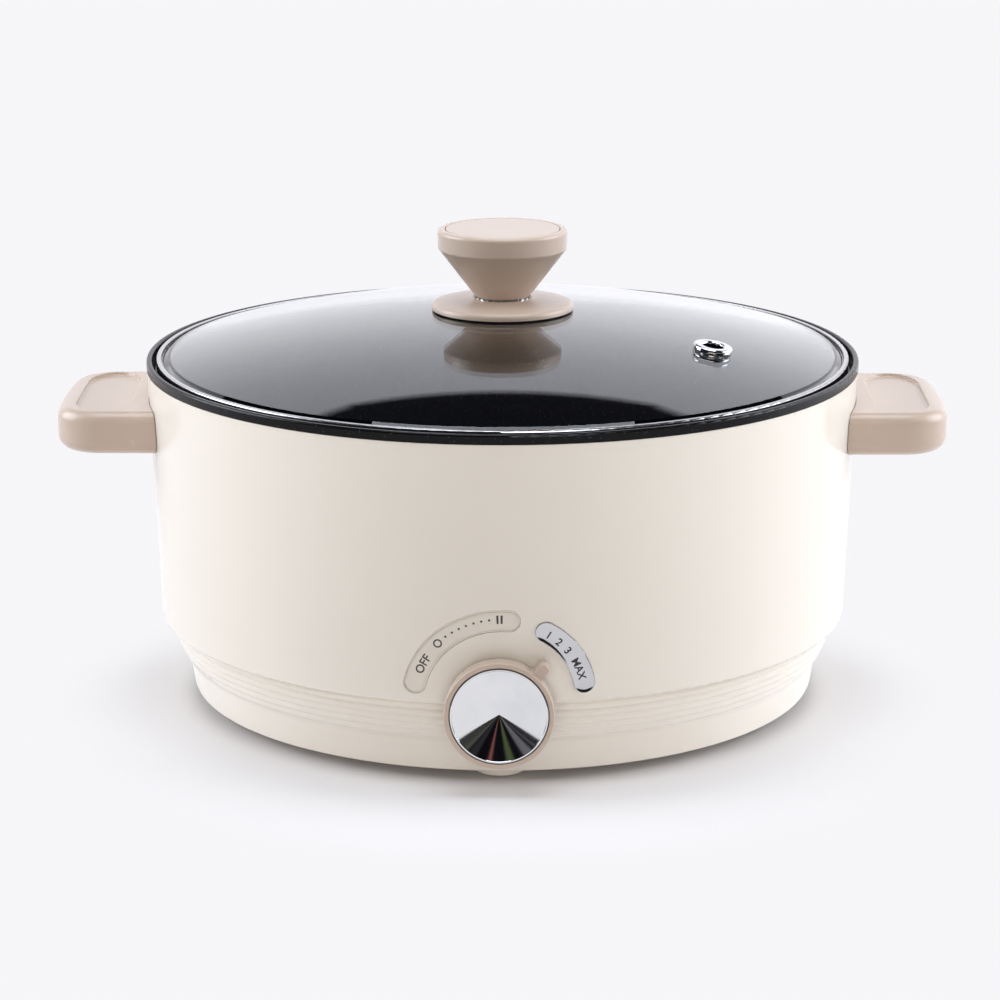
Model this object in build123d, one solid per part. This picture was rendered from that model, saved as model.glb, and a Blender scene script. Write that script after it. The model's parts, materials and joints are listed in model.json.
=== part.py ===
"""Electric hot pot with a lift-off glass lid, in millimetres.

Frame: the origin lies on the table under the pot's axis, +Z is up, -Y is the knob's side and the
side handles lie along X. Every piece is written to parts/ as a STEP file of its own.
"""
from build123d import *
import math
import os

# ---------------------------------------------------------------------------
# Driving dimensions
# ---------------------------------------------------------------------------

# Casing: the upper wall, the step under it and the ribbed cup that stands on the base cover
CASING_TOP_R = 150.0
CASING_TOP_Z = 141.0
CASING_WALL = 2.4
WALL_TAPER = 3.7         # the upper wall narrows this much down to the step
STEP_Z = 35.8            # underside of the upper wall
STEP_ROUND = 2.2
STEP_DROP = 1.2          # the step's underside falls this much towards the cup
CUP_INSET = 4.1          # from the upper wall in to the ribs, at the step
RIB_TAPER = 5.8          # the ribbed part narrows this much down to its lowest groove
RIB_BOW = 0.9            # how far the ribbed part bows out of a straight cone
PLINTH_INSET = 1.5       # from the lowest groove in to the plain band below it
PLINTH_TAPER = 1.8
PLINTH_ROUND = 3.0
RIB_COUNT = 5
RIB_PITCH = 3.26
RIB_RISE = 0.55          # height of a rib over its grooves
LEDGE_DROP = 3.5         # from the casing's top edge down to the ledge under the pot's flange
LEDGE_THICK = 2.4
LIP_WALL = 1.0           # casing wall beside the pot's flange
LEDGE_WIDTH = 4.0

# Pot
POT_GAP = 2.0            # between the pot's wall and the ledge's inner edge
POT_TAPER = 3.3          # the pot narrows this much from its mouth to its floor
POT_CORNER = 24.0
POT_WALL = 2.2
POT_FLOOR_Z = 48.0       # inside floor
POT_FLANGE = 1.3
POT_OVERHANG = 0.3       # the bead reaches this far past the casing's edge
POT_BEAD_RISE = 4.1      # the bead's top over the casing's edge
POT_BEAD_WIDTH = 2.2
SEAL_THICK = 1.2

# Base cover and feet
FOOT_HEIGHT = 4.0        # underside of the base cover over the table
FOOT_R = 9.75
FOOT_INSET = 13.7        # from the cup's foot in to a foot's axis
FOOT_COUNT = 4
PAD_R = 7.4
PAD_RECESS = 1.2
PAD_PROUD = 0.8
COVER_THICK = 2.2
COVER_EDGE = 1.4         # height of the cover's visible edge
SPIGOT_WALL = 2.0
SPIGOT_TALL = 3.6
VENT_WIDTH = 3.0
VENT_LENGTH = 20.0
VENT_RINGS = ((40.0, 12), (84.0, 20))  # mean radius, count

# Side handles
HANDLE_REACH = 37.4      # from the casing's top edge out to the handle's tip
HANDLE_DEPTH = 84.0
HANDLE_DROP = 13.3       # from the casing's top edge down to the handle's top
HANDLE_THICK = 18.2
HANDLE_CORNER = 19.0
HANDLE_BULGE_R = 240.0   # the tip is bowed a little
HANDLE_TOP_ROUND = 4.6
HANDLE_LOW_ROUND = 6.0
HANDLE_WALL = 3.0
NOSE_LENGTH = 8.4        # the top falls away over this length
NOSE_DROP = 2.8
DISH_EDGE = 0.3          # flat left round the dish
DISH_WIDTH = 22.4
DISH_END = 19.0          # length of the dish's pointed end
DISH_DEPTH = 1.3
DISH_LIP = 0.5
DISH_FLOOR_ROUND = 0.7
HANDLE_SCREW_SPACING = 44.0
HANDLE_SCREW_R = 2.0
HANDLE_SCREW_LENGTH = 16.0
HANDLE_BOSS_R = 4.5

# Knob, its shaft and the regulator behind it
KNOB_Z = 33.9
KNOB_R = 21.6
KNOB_GAP = 1.3           # between the upper wall's foot and the knob's skirt
KNOB_DEEP = 7.2
KNOB_RIM = 2.0           # width of the beige ring round the dish
KNOB_DISH_GAP = 0.4      # dark joint between the ring and the dish
KNOB_SKIN = 1.8
POINTER_ANGLE = 47.0
POINTER_OUT = 5.8        # from the knob's edge to the pointer's tip
POINTER_WIDTH = 4.5
POINTER_TIP_ROUND = 2.0
POINTER_ROOT_ROUND = 1.4
POINTER_INSET = 1.2      # the pointer's face lies behind the ring's face
POINTER_EDGE = 0.5
DISH_RECESS = 3.4
DISH_CONE = 2.6
KNOB_DISH_THICK = 0.8
HUB_R = 5.4
HUB_REACH = 7.0          # how far the hub reaches back behind the knob's skirt
CLIP_SHEET = 0.7
CLIP_WIDTH = 2.2
SHAFT_R = 3.0
SHAFT_FLAT = 1.1
CAM_ECCENTRIC = 1.5
CAM_THICK = 3.0
REG_WIDTH = 34.0
REG_TALL = 19.0
REG_DEEP = 17.0
REG_WALL = 1.8
REG_COVER = 1.5
BRACKET_THICK = 1.2
BRACKET_MARGIN = 4.6     # from a screw's axis to the bracket's end
BRACKET_SCREW_HEAD_R = 2.9
BRACKET_TALL = 14.0
POST_REACH = 11.2        # from the cup's outside in to the face of the two posts
POST_R = 3.6
BUSH_WALL = 1.4
BUSH_LENGTH = 7.0
BUSH_NUT_AF = 12.0
BUSH_NUT_THICK = 2.6
BLADE_WIDTH = 6.3
BLADE_THICK = 0.8
BLADE_LENGTH = 8.0

# Scale plate and badge, as bands round the knob's axis on the casing's front
SCALE_CENTRE = (0.8, 1.8)   # of the plate's arc, from the knob's axis
SCALE_R = 34.8
SCALE_WIDTH = 9.0
SCALE_FROM = 84.9
SCALE_TO = 166.3
SCALE_THICK = 1.1
BADGE_CENTRE = (3.1, 5.2)
BADGE_R = 30.5
BADGE_WIDTH = 8.5
BADGE_FROM = 9.4
BADGE_TO = 60.4
BADGE_SEAT = 0.8
BADGE_PROUD = 0.9

# Heater under the pot
HEATER_R = 92.0
HEATER_THICK = 6.0
ELEMENT_RING_R = 66.0
ELEMENT_R = 3.3
ELEMENT_SUNK = 0.8       # how far the tube's axis lies above the plate's underside
ELEMENT_GAP = 34.0       # degrees of the ring left open at the front
ELEMENT_BEND_R = 9.0
TAIL_REACH = 2.0         # the element's tails end this far below the shield
BUSH_BEAD_R = 3.0
BUSH_BEAD_LENGTH = 2.6
ELEMENT_PIN_R = 1.2
ELEMENT_PIN_LENGTH = 8.0
SHIELD_Z = 24.0
SHIELD_GAP = 11.3        # between the regulator's cover and the shield
SHIELD_THICK = 0.8
SHIELD_RIM = 6.0
EAR_WIDTH = 15.0
STUD_COUNT = 3
STUD_PITCH_R = 40.0
STUD_R = 2.0
STUD_TIP = 1.0           # of the stud below its nut
NUT_AF = 7.0
NUT_THICK = 3.2
CUTOUT_R = 8.0
CUTOUT_TALL = 9.0
CUTOUT_SPACING = 6.0
FUSE_R = 2.0
FUSE_LENGTH = 14.0
FUSE_Y = 22.0
FUSE_CLIP_LENGTH = 6.0
FUSE_CLIP_WALL = 0.6

# Screws that hold cover, shield and casing together
LUG_INSET = 17.1         # from the cup's foot in to a lug's axis
LUG_R = 6.5
LUG_TALL = 10.0
LUG_WEB = 7.0
SCREW_R = 1.75
SCREW_HEAD_R = 3.6
SCREW_HEAD_TALL = 2.2
SCREW_BITE = 8.0         # length of the screw inside the casing's lug
COVER_POST_R = 6.0

# Power inlet in the rear
INLET_Z = 33.9
INLET_FLANGE_X = 50.0
INLET_FLANGE_Z = 28.0
INLET_FLANGE_THICK = 2.0
INLET_BODY_X = 28.0
INLET_BODY_Z = 21.0
INLET_BODY_DEEP = 20.0
INLET_SIDE_WALL = 1.8
INLET_TOP_WALL = 2.2
SOCKET_DEEP = 16.0
SOCKET_CHAMFER = 4.6
INLET_ROUND = 3.0
PIN_SPACING = 7.0
PIN_RISE = 1.6           # outer pins above the inlet's middle, and the earth pin below it
PIN_WIDTH = 4.0
PIN_THICK = 2.0
PIN_OUT = 12.0
PIN_TAIL = 6.0
INLET_BOSS_MARGIN = 3.0  # the casing's boss round the inlet's flange
INLET_SCREW_EDGE = 5.0   # from the flange's end to a screw's axis
INLET_SCREW_R = 1.5
INLET_SCREW_HEAD_R = 2.8
INLET_SCREW_LENGTH = 9.0

# Terminal block and leads
BLOCK_POST_GAP = 8.0     # from the block to the cover's screw post, along X
BLOCK_Y = 70.0
BLOCK_LENGTH = 36.0
BLOCK_DEEP = 18.0
BLOCK_TALL = 13.0
POLE_PITCH = 10.0
POLE_SCREW_R = 2.0
POLE_SCREW_TALL = 2.0
PEG_R = 1.5
LEAD_R = 1.3
LEAD_STUB = 8.0          # straight start of a lead at a pin or a pole

# Lid
LID_CLEARANCE = 0.7      # round the band and round its skirt
DOME_RISE = 18.2
GLASS_THICK = 4.0
GLASS_RIM = 3.6
GLASS_FLAT = 3.8         # width of the flat rim round the dome
DOME_FOOT_RISE = 1.5     # the dome's foot over the flat rim's top
RIM_STEP = 1.6           # width of the rim's outer part, which lies lower
BAND_SHEET = 0.5
BAND_LIP = 2.0
SKIRT_TALL = 3.3
LID_SEAL_GAP = 0.5       # cushion above and below the glass
LID_SEAL_SIDE = 0.6      # cushion beside the glass
SCREW_HOLE_GAP = 1.0     # round the knob's screw in the glass
VENT_PITCH_R = 98.0
VENT_ANGLE = -28.3
VENT_HOLE_GAP = 0.7      # round the eyelet's sleeve in the glass
EYELET_R = 8.15
EYELET_BORE_R = 4.35
EYELET_RISE = 2.0
EYELET_SLEEVE_R = 5.3
EYELET_LOWER_R = 7.4
EYELET_LOWER_THICK = 1.0
VENT_SEAL_THICK = 0.6

# Lid knob
KNOB_GASKET_THICK = 0.6
GASKET_INSET = 1.5
BASE_DISC_R = 29.9
BASE_DISC_EDGE = 2.6     # height of the disc's upright edge
BASE_DISC_ROUND = 2.0
BASE_DISC_TOP_R = 12.6
BASE_DISC_RISE = 4.6     # the disc's top over the glass
WASHER_THICK = 0.6
WASHER_R = 12.1
WASHER_TEETH = 24
WASHER_TOOTH = 0.8
CONE_FOOT_R = 11.6
CONE_TALL = 20.3
HEAD_TALL = 8.3
HEAD_DRAFT = 0.3         # the head is this much narrower at its foot
LID_KNOB_R = 27.4
LID_KNOB_ROUND = 2.6
CAP_EDGE = 3.4           # width of the knob's edge round its cap
CAP_THICK = 1.6
CAP_GAP = 0.3
LID_KNOB_WALL = 2.6
INSERT_R = 3.6
INSERT_LENGTH = 10.0
LID_SCREW_R = 2.5
LID_SCREW_HEAD_R = 4.8
LID_SCREW_HEAD_TALL = 3.0
LID_SCREW_BITE = 9.0
LID_WASHER_R = 8.0
LID_WASHER_THICK = 1.2

# Clearances
SNUG = 0.2               # between a flush or spigot piece and the piece round it
FREE = 0.4               # screw or stem in a through hole
SWEEP = 2.5              # shaft and bush in the casing's wall
SHAFT_RUNNING = 0.05     # radial, shaft in its bush

# ---------------------------------------------------------------------------
# Derived sizes
# ---------------------------------------------------------------------------

# Radii, from the casing's top edge inwards
WAIST_R = CASING_TOP_R - WALL_TAPER
CUP_TOP_R = WAIST_R - CUP_INSET
RIB_FOOT_R = CUP_TOP_R - RIB_TAPER
PLINTH_TOP_R = RIB_FOOT_R - PLINTH_INSET
CUP_BASE_R = PLINTH_TOP_R - PLINTH_TAPER
LEDGE_R = CASING_TOP_R - LIP_WALL - LEDGE_WIDTH
POT_MOUTH_R = LEDGE_R - POT_GAP - POT_WALL
POT_LOW_R = POT_MOUTH_R - POT_TAPER
POT_RIM_R = CASING_TOP_R + POT_OVERHANG
POT_SHELF_R = POT_RIM_R - POT_BEAD_WIDTH - POT_FLANGE
BAND_R = POT_SHELF_R - LID_CLEARANCE
BAND_LIP_R = BAND_R - BAND_LIP
SKIRT_R = POT_MOUTH_R - LID_CLEARANCE
GLASS_R = BAND_R - BAND_SHEET - LID_SEAL_SIDE
RIM_STEP_R = GLASS_R - RIM_STEP
DOME_FOOT_R = GLASS_R - GLASS_FLAT
FOOT_PITCH_R = CUP_BASE_R - FOOT_INSET
LUG_PITCH_R = CUP_BASE_R - LUG_INSET
POST_X = -LUG_PITCH_R * math.cos(math.pi / FOOT_COUNT)
BLOCK_X = POST_X + COVER_POST_R + BLOCK_POST_GAP + BLOCK_LENGTH / 2
HANDLE_TIP = CASING_TOP_R + HANDLE_REACH

# Heights, from the table up
COVER_TOP_Z = FOOT_HEIGHT + COVER_THICK
CASING_FOOT_Z = FOOT_HEIGHT + COVER_EDGE
WAIST_Z = STEP_Z + STEP_ROUND
CUP_TOP_Z = STEP_Z - STEP_DROP
LEDGE_Z = CASING_TOP_Z - LEDGE_DROP
FLANGE_Z = LEDGE_Z + SEAL_THICK
POT_LEDGE_Z = FLANGE_Z + POT_FLANGE
POT_BEAD_TOP_Z = CASING_TOP_Z + POT_BEAD_RISE
POT_UNDER_Z = POT_FLOOR_Z - POT_WALL
HEATER_UNDER_Z = POT_UNDER_Z - HEATER_THICK
ELEMENT_Z = HEATER_UNDER_Z + ELEMENT_SUNK - ELEMENT_R / 2
SHIELD_TOP_Z = SHIELD_Z + SHIELD_THICK
ELEMENT_TAIL_Z = SHIELD_Z - TAIL_REACH
STUD_END_Z = SHIELD_Z - NUT_THICK - STUD_TIP
HANDLE_TOP_Z = CASING_TOP_Z - HANDLE_DROP
HANDLE_LOW_Z = HANDLE_TOP_Z - HANDLE_THICK
HANDLE_MID_Z = HANDLE_TOP_Z - HANDLE_THICK / 2
BAND_BASE_Z = POT_LEDGE_Z
GLASS_RIM_Z = BAND_BASE_Z + BAND_SHEET + LID_SEAL_GAP
GLASS_RIM_TOP_Z = GLASS_RIM_Z + GLASS_RIM
BAND_TOP_Z = GLASS_RIM_TOP_Z + LID_SEAL_GAP + BAND_SHEET
DOME_FOOT_Z = GLASS_RIM_TOP_Z + DOME_FOOT_RISE
LID_APEX_Z = DOME_FOOT_Z + DOME_RISE
DOME_R = (DOME_FOOT_R ** 2 + DOME_RISE ** 2) / (2 * DOME_RISE)
DOME_CENTRE_Z = LID_APEX_Z - DOME_R
BASE_DISC_TOP_Z = LID_APEX_Z + BASE_DISC_RISE
WASHER_TOP_Z = BASE_DISC_TOP_Z + WASHER_THICK
CONE_HEAD_Z = WASHER_TOP_Z + CONE_TALL
LID_KNOB_TOP_Z = CONE_HEAD_Z + HEAD_TALL

# The knob and the regulator, as distances from the pot's axis
KNOB_BACK = WAIST_R + KNOB_GAP
KNOB_FACE = KNOB_BACK + KNOB_DEEP
HUB_BACK = KNOB_BACK - HUB_REACH
BRACKET_Y = CUP_TOP_R - POST_REACH
BRACKET_BACK = BRACKET_Y - BRACKET_THICK
REG_BACK = BRACKET_BACK - REG_DEEP
SHIELD_R = REG_BACK - REG_COVER - SHIELD_GAP

# The inlet, whose flange reaches as far back as the knob reaches forward
INLET_FACE = KNOB_FACE
BOSS_FACE = INLET_FACE - INLET_FLANGE_THICK
SOCKET_FLOOR = INLET_FACE - SOCKET_DEEP
INLET_BACK = BOSS_FACE - INLET_BODY_DEEP

# Sizes of small pieces that fit one another
POINTER_REACH = KNOB_R + POINTER_OUT
BUSH_R = SHAFT_R + BUSH_WALL
CAM_R = REG_TALL / 2 - REG_WALL - CAM_ECCENTRIC - FREE
POST_SPACING = REG_WIDTH + 2 * (BRACKET_SCREW_HEAD_R + FREE)
SOCKET_X = INLET_BODY_X - 2 * INLET_SIDE_WALL
SOCKET_Z = INLET_BODY_Z - 2 * INLET_TOP_WALL
INLET_SCREW_SPACING = INLET_FLANGE_X - 2 * INLET_SCREW_EDGE
DISH_LENGTH = HANDLE_DEPTH - 2 * (HANDLE_TOP_ROUND + DISH_EDGE)
KNOB_HOLE_R = LID_SCREW_R + SCREW_HOLE_GAP
VENT_HOLE_R = EYELET_SLEEVE_R + VENT_HOLE_GAP
KNOB_GASKET_R = BASE_DISC_R - GASKET_INSET
CONE_HEAD_R = LID_KNOB_R - HEAD_DRAFT
CAP_R = LID_KNOB_R - CAP_EDGE

# Places round the axis, in degrees from +X
FOOT_ANGLES = [360 / FOOT_COUNT * i for i in range(FOOT_COUNT)]
LUG_ANGLES = [angle + 180 / FOOT_COUNT for angle in FOOT_ANGLES]
STUD_ANGLES = [30 + 360 / STUD_COUNT * i for i in range(STUD_COUNT)]

# Local frames: x to the right and z out of the piece's outer face
KNOB_FRAME = Plane(origin=(0, 0, KNOB_Z), x_dir=(1, 0, 0), z_dir=(0, -1, 0))
INLET_FRAME = Plane(origin=(0, 0, INLET_Z), x_dir=(-1, 0, 0), z_dir=(0, 1, 0))


# ---------------------------------------------------------------------------
# Helpers
# ---------------------------------------------------------------------------

def rounded(before, corner, after, radius):
    """End points and middle of the arc that rounds one corner of an outline."""
    u = (before - corner).normalized()
    v = (after - corner).normalized()
    half = math.acos(max(-1.0, min(1.0, u.dot(v)))) / 2
    room = 0.49 * min((before - corner).length, (after - corner).length)
    run = min(radius / math.tan(half), room)
    radius = run * math.tan(half)
    middle = (u + v).normalized()
    centre = corner + middle * (radius / math.sin(half))
    return corner + u * run, centre - middle * radius, corner + v * run


def outline(corners):
    """Closed face in the XZ plane from corners given as (r, z) or (r, z, corner radius)."""
    points = [Vector(c[0], 0, c[1]) for c in corners]
    edges = []
    joints = []
    for i, corner in enumerate(corners):
        if len(corner) > 2 and corner[2] > 0:
            after = points[(i + 1) % len(points)]
            start, middle, end = rounded(points[i - 1], points[i], after, corner[2])
            edges.append(ThreePointArc(start, middle, end))
            joints.append((start, end))
        else:
            joints.append((points[i], points[i]))
    for i, (_, end) in enumerate(joints):
        start = joints[(i + 1) % len(joints)][0]
        if (start - end).length > 1e-6:
            edges.append(Line(end, start))
    return make_face(edges)


def turned(corners):
    """Solid of revolution about the pot's axis."""
    return revolve(outline(corners), Axis.Z)


def tube(outer_r, inner_r, low_z, high_z):
    """Plain ring between two heights."""
    return turned([(inner_r, low_z), (outer_r, low_z), (outer_r, high_z), (inner_r, high_z)])


def rod(radius, low_z, high_z, x=0.0, y=0.0):
    """Upright cylinder between two heights."""
    return Pos(x, y, (low_z + high_z) / 2) * Cylinder(radius, high_z - low_z)


def block(low, high):
    """Box between two opposite corners."""
    size = [high[i] - low[i] for i in range(3)]
    middle = [(high[i] + low[i]) / 2 for i in range(3)]
    return Pos(*middle) * Box(*size)


def slab(sketch, low_z, high_z):
    """A sketch in the XY plane extruded between two heights."""
    return Pos(0, 0, low_z) * extrude(sketch, amount=high_z - low_z)


def hexagon(across_flats, low_z, high_z):
    """Upright hexagonal prism on the axis."""
    return slab(RegularPolygon(across_flats / 2, 6, major_radius=False), low_z, high_z)


def polar(radius, angle):
    """X and Y of a point given by its radius and angle."""
    return radius * math.cos(math.radians(angle)), radius * math.sin(math.radians(angle))


def between(low, high, share):
    """Value part of the way from low to high."""
    return low + (high - low) * share


def wall_r(z):
    """Outer radius of the casing's upper wall at a height."""
    return between(WAIST_R, CASING_TOP_R, (z - WAIST_Z) / (CASING_TOP_Z - WAIST_Z))


def cup_r(z):
    """Outer radius of the casing's lower cup at a height, over the ribs or on the plain band."""
    foot_z = rib_levels()[-1]
    if z < foot_z:
        return between(CUP_BASE_R, PLINTH_TOP_R, (z - CASING_FOOT_Z) / (foot_z - CASING_FOOT_Z))
    share = (z - foot_z) / (CUP_TOP_Z - foot_z)
    return between(RIB_FOOT_R, CUP_TOP_R, share) + 4 * RIB_BOW * share * (1 - share)


def dome_z(r, inset=0.0):
    """Height of the lid's dome at a radius, or of the surface an inset below it."""
    return DOME_CENTRE_Z + math.sqrt((DOME_R - inset) ** 2 - r ** 2)


def write(name, *solids):
    """One STEP file for one node."""
    shape = solids[0] if len(solids) == 1 else Compound(children=list(solids))
    export_step(shape, f"parts/{name}.step")


# ---------------------------------------------------------------------------
# Casing, its plate and its badge
# ---------------------------------------------------------------------------

def rib_levels():
    """Heights of the grooves from the top one down."""
    return [CUP_TOP_Z - RIB_PITCH * (i + 1) for i in range(RIB_COUNT)]


def cup_inside():
    """Corners of the cup's inner surface from the foot up to the step."""
    foot_z = rib_levels()[-1]
    ledge_z = CUP_TOP_Z - CASING_WALL
    return [
        (CUP_BASE_R - CASING_WALL, CASING_FOOT_Z),
        (PLINTH_TOP_R - CASING_WALL, foot_z - RIB_PITCH / 2),
        (cup_r(foot_z + RIB_PITCH) - RIB_RISE - CASING_WALL, foot_z + RIB_PITCH / 2),
        (cup_r(ledge_z) - RIB_RISE - CASING_WALL, ledge_z),
        (wall_r(WAIST_Z) - CASING_WALL, WAIST_Z),
        (wall_r(LEDGE_Z - LEDGE_THICK) - CASING_WALL, LEDGE_Z - LEDGE_THICK),
    ]


def casing_wall():
    """The bare shell: upper wall, step, ribbed cup, and the ledge for the pot's flange."""
    levels = [CUP_TOP_Z] + rib_levels()
    grooves = [Vector(cup_r(z) - RIB_RISE, 0, z) for z in levels]
    edges = []
    for upper, lower in zip(grooves, grooves[1:]):
        middle = (upper + lower) * 0.5 + Vector(RIB_RISE, 0, 0)
        edges.append(ThreePointArc(upper, middle, lower))
    foot = Vector(CUP_BASE_R, 0, CASING_FOOT_Z)
    plinth = Vector(PLINTH_TOP_R, 0, levels[-1] - RIB_PITCH / 2)
    start, middle, end = rounded(grooves[-1], plinth, foot, PLINTH_ROUND)
    edges += [Line(grooves[-1], start), ThreePointArc(start, middle, end), Line(end, foot)]
    loop = [foot] + [Vector(r, 0, z) for r, z in cup_inside()] + [
        Vector(LEDGE_R, 0, LEDGE_Z - LEDGE_THICK),
        Vector(LEDGE_R, 0, LEDGE_Z),
        Vector(CASING_TOP_R - LIP_WALL, 0, LEDGE_Z),
        Vector(CASING_TOP_R - LIP_WALL, 0, CASING_TOP_Z),
        Vector(CASING_TOP_R, 0, CASING_TOP_Z),
        Vector(WAIST_R, 0, WAIST_Z),
    ]
    edges += [Line(a, b) for a, b in zip(loop, loop[1:])]
    step = Vector(WAIST_R, 0, STEP_Z)
    start, middle, end = rounded(loop[-1], step, grooves[0], STEP_ROUND / 1.5)
    edges += [Line(loop[-1], start), ThreePointArc(start, middle, end), Line(end, grooves[0])]
    return revolve(make_face(edges), Axis.Z)


def casing_room():
    """The space inside the casing, up to half way into its wall, to trim what is moulded onto it."""
    inside = [(r + CASING_WALL / 2, z) for r, z in cup_inside()]
    return turned([(0, CASING_FOOT_Z)] + inside + [(0, LEDGE_Z - LEDGE_THICK)])


def upper_cone(inset):
    """The upper wall's outer surface as a solid cone, moved inwards by an inset."""
    return turned([
        (0, STEP_Z),
        (wall_r(STEP_Z) - inset, STEP_Z),
        (wall_r(CASING_TOP_Z) - inset, CASING_TOP_Z),
        (0, CASING_TOP_Z),
    ])


def front_band(centre, radius, width, start, end):
    """Prism of a round-ended band beside the knob, through the casing's front."""
    band = Pos(*centre) * SlotArc(CenterArc((0, 0), radius, start, end - start), width)
    return KNOB_FRAME * Pos(0, 0, BRACKET_Y) * extrude(band, amount=KNOB_FACE - BRACKET_Y)


def scale_band(width):
    """The scale plate's outline, as a prism."""
    return front_band(SCALE_CENTRE, SCALE_R, width, SCALE_FROM, SCALE_TO)


def badge_band():
    """The badge's outline, as a prism."""
    return front_band(BADGE_CENTRE, BADGE_R, BADGE_WIDTH, BADGE_FROM, BADGE_TO)


def make_scale_plate():
    """Curved plate set flush into the casing."""
    return (scale_band(SCALE_WIDTH - 2 * SNUG) & upper_cone(SNUG / 2)) - upper_cone(SCALE_THICK)


def make_scale_badge():
    """Curved chrome badge that stands proud of the casing."""
    return (badge_band() & upper_cone(-BADGE_PROUD)) - upper_cone(BADGE_SEAT)


def front_pockets():
    """What the plate and the badge take out of the casing's wall."""
    return [scale_band(SCALE_WIDTH) - upper_cone(SCALE_THICK), badge_band() - upper_cone(BADGE_SEAT)]


def casing_lugs():
    """Lugs inside the cup that take the long screws, each joined to the wall by a web."""
    lugs = []
    holes = []
    top_z = SHIELD_TOP_Z + LUG_TALL
    for angle in LUG_ANGLES:
        lug = rod(LUG_R, SHIELD_TOP_Z, top_z, LUG_PITCH_R)
        web = block((LUG_PITCH_R, -LUG_WEB / 2, SHIELD_TOP_Z), (CASING_TOP_R, LUG_WEB / 2, top_z))
        lugs.append(Rot(0, 0, angle) * (lug + web))
        holes.append(Rot(0, 0, angle) * rod(SCREW_R, SHIELD_TOP_Z, SHIELD_TOP_Z + SCREW_BITE, LUG_PITCH_R))
    return lugs, holes


def regulator_posts():
    """Two posts behind the front wall that carry the regulator's bracket, and their holes."""
    posts = []
    holes = []
    for side in (-1, 1):
        x = side * POST_SPACING / 2
        posts.append(knob_rod(POST_R, BRACKET_Y, WAIST_R, x))
        holes.append(knob_rod(SCREW_R, BRACKET_Y, BRACKET_Y + bracket_screw_bite(), x))
    return posts, holes


def bracket_screw_bite():
    """Length of a bracket screw inside its post, which stops short of the casing's outside."""
    inner = math.sqrt((cup_r(KNOB_Z) - CASING_WALL) ** 2 - (POST_SPACING / 2) ** 2)
    return inner - BRACKET_Y


def handle_seat(side):
    """Flat pads inside the wall under the heads of the handle's screws."""
    pads = []
    holes = []
    for y in (-HANDLE_SCREW_SPACING / 2, HANDLE_SCREW_SPACING / 2):
        seat = handle_seat_x()
        pad = block(
            (seat, y - HANDLE_BOSS_R, HANDLE_MID_Z - HANDLE_BOSS_R),
            (CASING_TOP_R, y + HANDLE_BOSS_R, HANDLE_MID_Z + HANDLE_BOSS_R),
        )
        pads.append(pad)
        holes.append(Pos((seat + CASING_TOP_R) / 2, y, HANDLE_MID_Z) * Rot(0, 90, 0)
                     * Cylinder(HANDLE_SCREW_R + FREE / 2, CASING_TOP_R - seat + 2))
    turn = Rot(0, 0, 0 if side > 0 else 180)
    return [turn * pad for pad in pads], [turn * hole for hole in holes]


def handle_seat_x():
    """How far out the pads' flat faces lie: level with the wall's inside at their outer corners."""
    inner = wall_r(HANDLE_MID_Z - HANDLE_BOSS_R) - CASING_WALL
    return math.sqrt(inner ** 2 - (HANDLE_SCREW_SPACING / 2 + HANDLE_BOSS_R) ** 2)


def inlet_boss():
    """Boss that stands out of the rear wall and carries the power inlet."""
    half_x = INLET_FLANGE_X / 2 + INLET_BOSS_MARGIN
    half_z = INLET_FLANGE_Z / 2 + INLET_BOSS_MARGIN
    shell = RectangleRounded(2 * half_x, 2 * half_z, INLET_ROUND + INLET_BOSS_MARGIN)
    hollow = RectangleRounded(2 * (half_x - CASING_WALL), 2 * (half_z - CASING_WALL), INLET_ROUND)
    opening = RectangleRounded(INLET_BODY_X + SNUG, INLET_BODY_Z + SNUG, INLET_ROUND)
    root = CUP_BASE_R - 4 * CASING_WALL
    outer = INLET_FRAME * Pos(0, 0, root) * extrude(shell, amount=BOSS_FACE - root)
    inside = INLET_FRAME * Pos(0, 0, root) * extrude(hollow, amount=BOSS_FACE - CASING_WALL - root)
    through = INLET_FRAME * Pos(0, 0, root) * extrude(opening, amount=INLET_FACE - root)
    holes = [through]
    for side in (-1, 1):
        depth = BOSS_FACE - root
        hole = Cylinder(INLET_SCREW_R, depth)
        holes.append(INLET_FRAME * Pos(side * INLET_SCREW_SPACING / 2, 0, root + depth / 2) * hole)
    return outer, inside, holes


def make_casing():
    """Moulded casing with everything that is moulded onto it."""
    shell = casing_wall()
    room = casing_room()
    boss, boss_hollow, boss_holes = inlet_boss()
    lugs, lug_holes = casing_lugs()
    posts, post_holes = regulator_posts()
    inner = lugs + posts
    holes = lug_holes + post_holes + boss_holes
    for side in (-1, 1):
        pads, pad_holes = handle_seat(side)
        inner += pads
        holes += pad_holes
    body = shell + (boss - room) - boss_hollow
    for piece in inner:
        body += piece & room
    for cut in holes + front_pockets():
        body -= cut
    return body - knob_rod(HUB_R + CLIP_SHEET + 2 * FREE, BRACKET_Y, KNOB_FACE)


# ---------------------------------------------------------------------------
# Pot, seal and base
# ---------------------------------------------------------------------------

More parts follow.
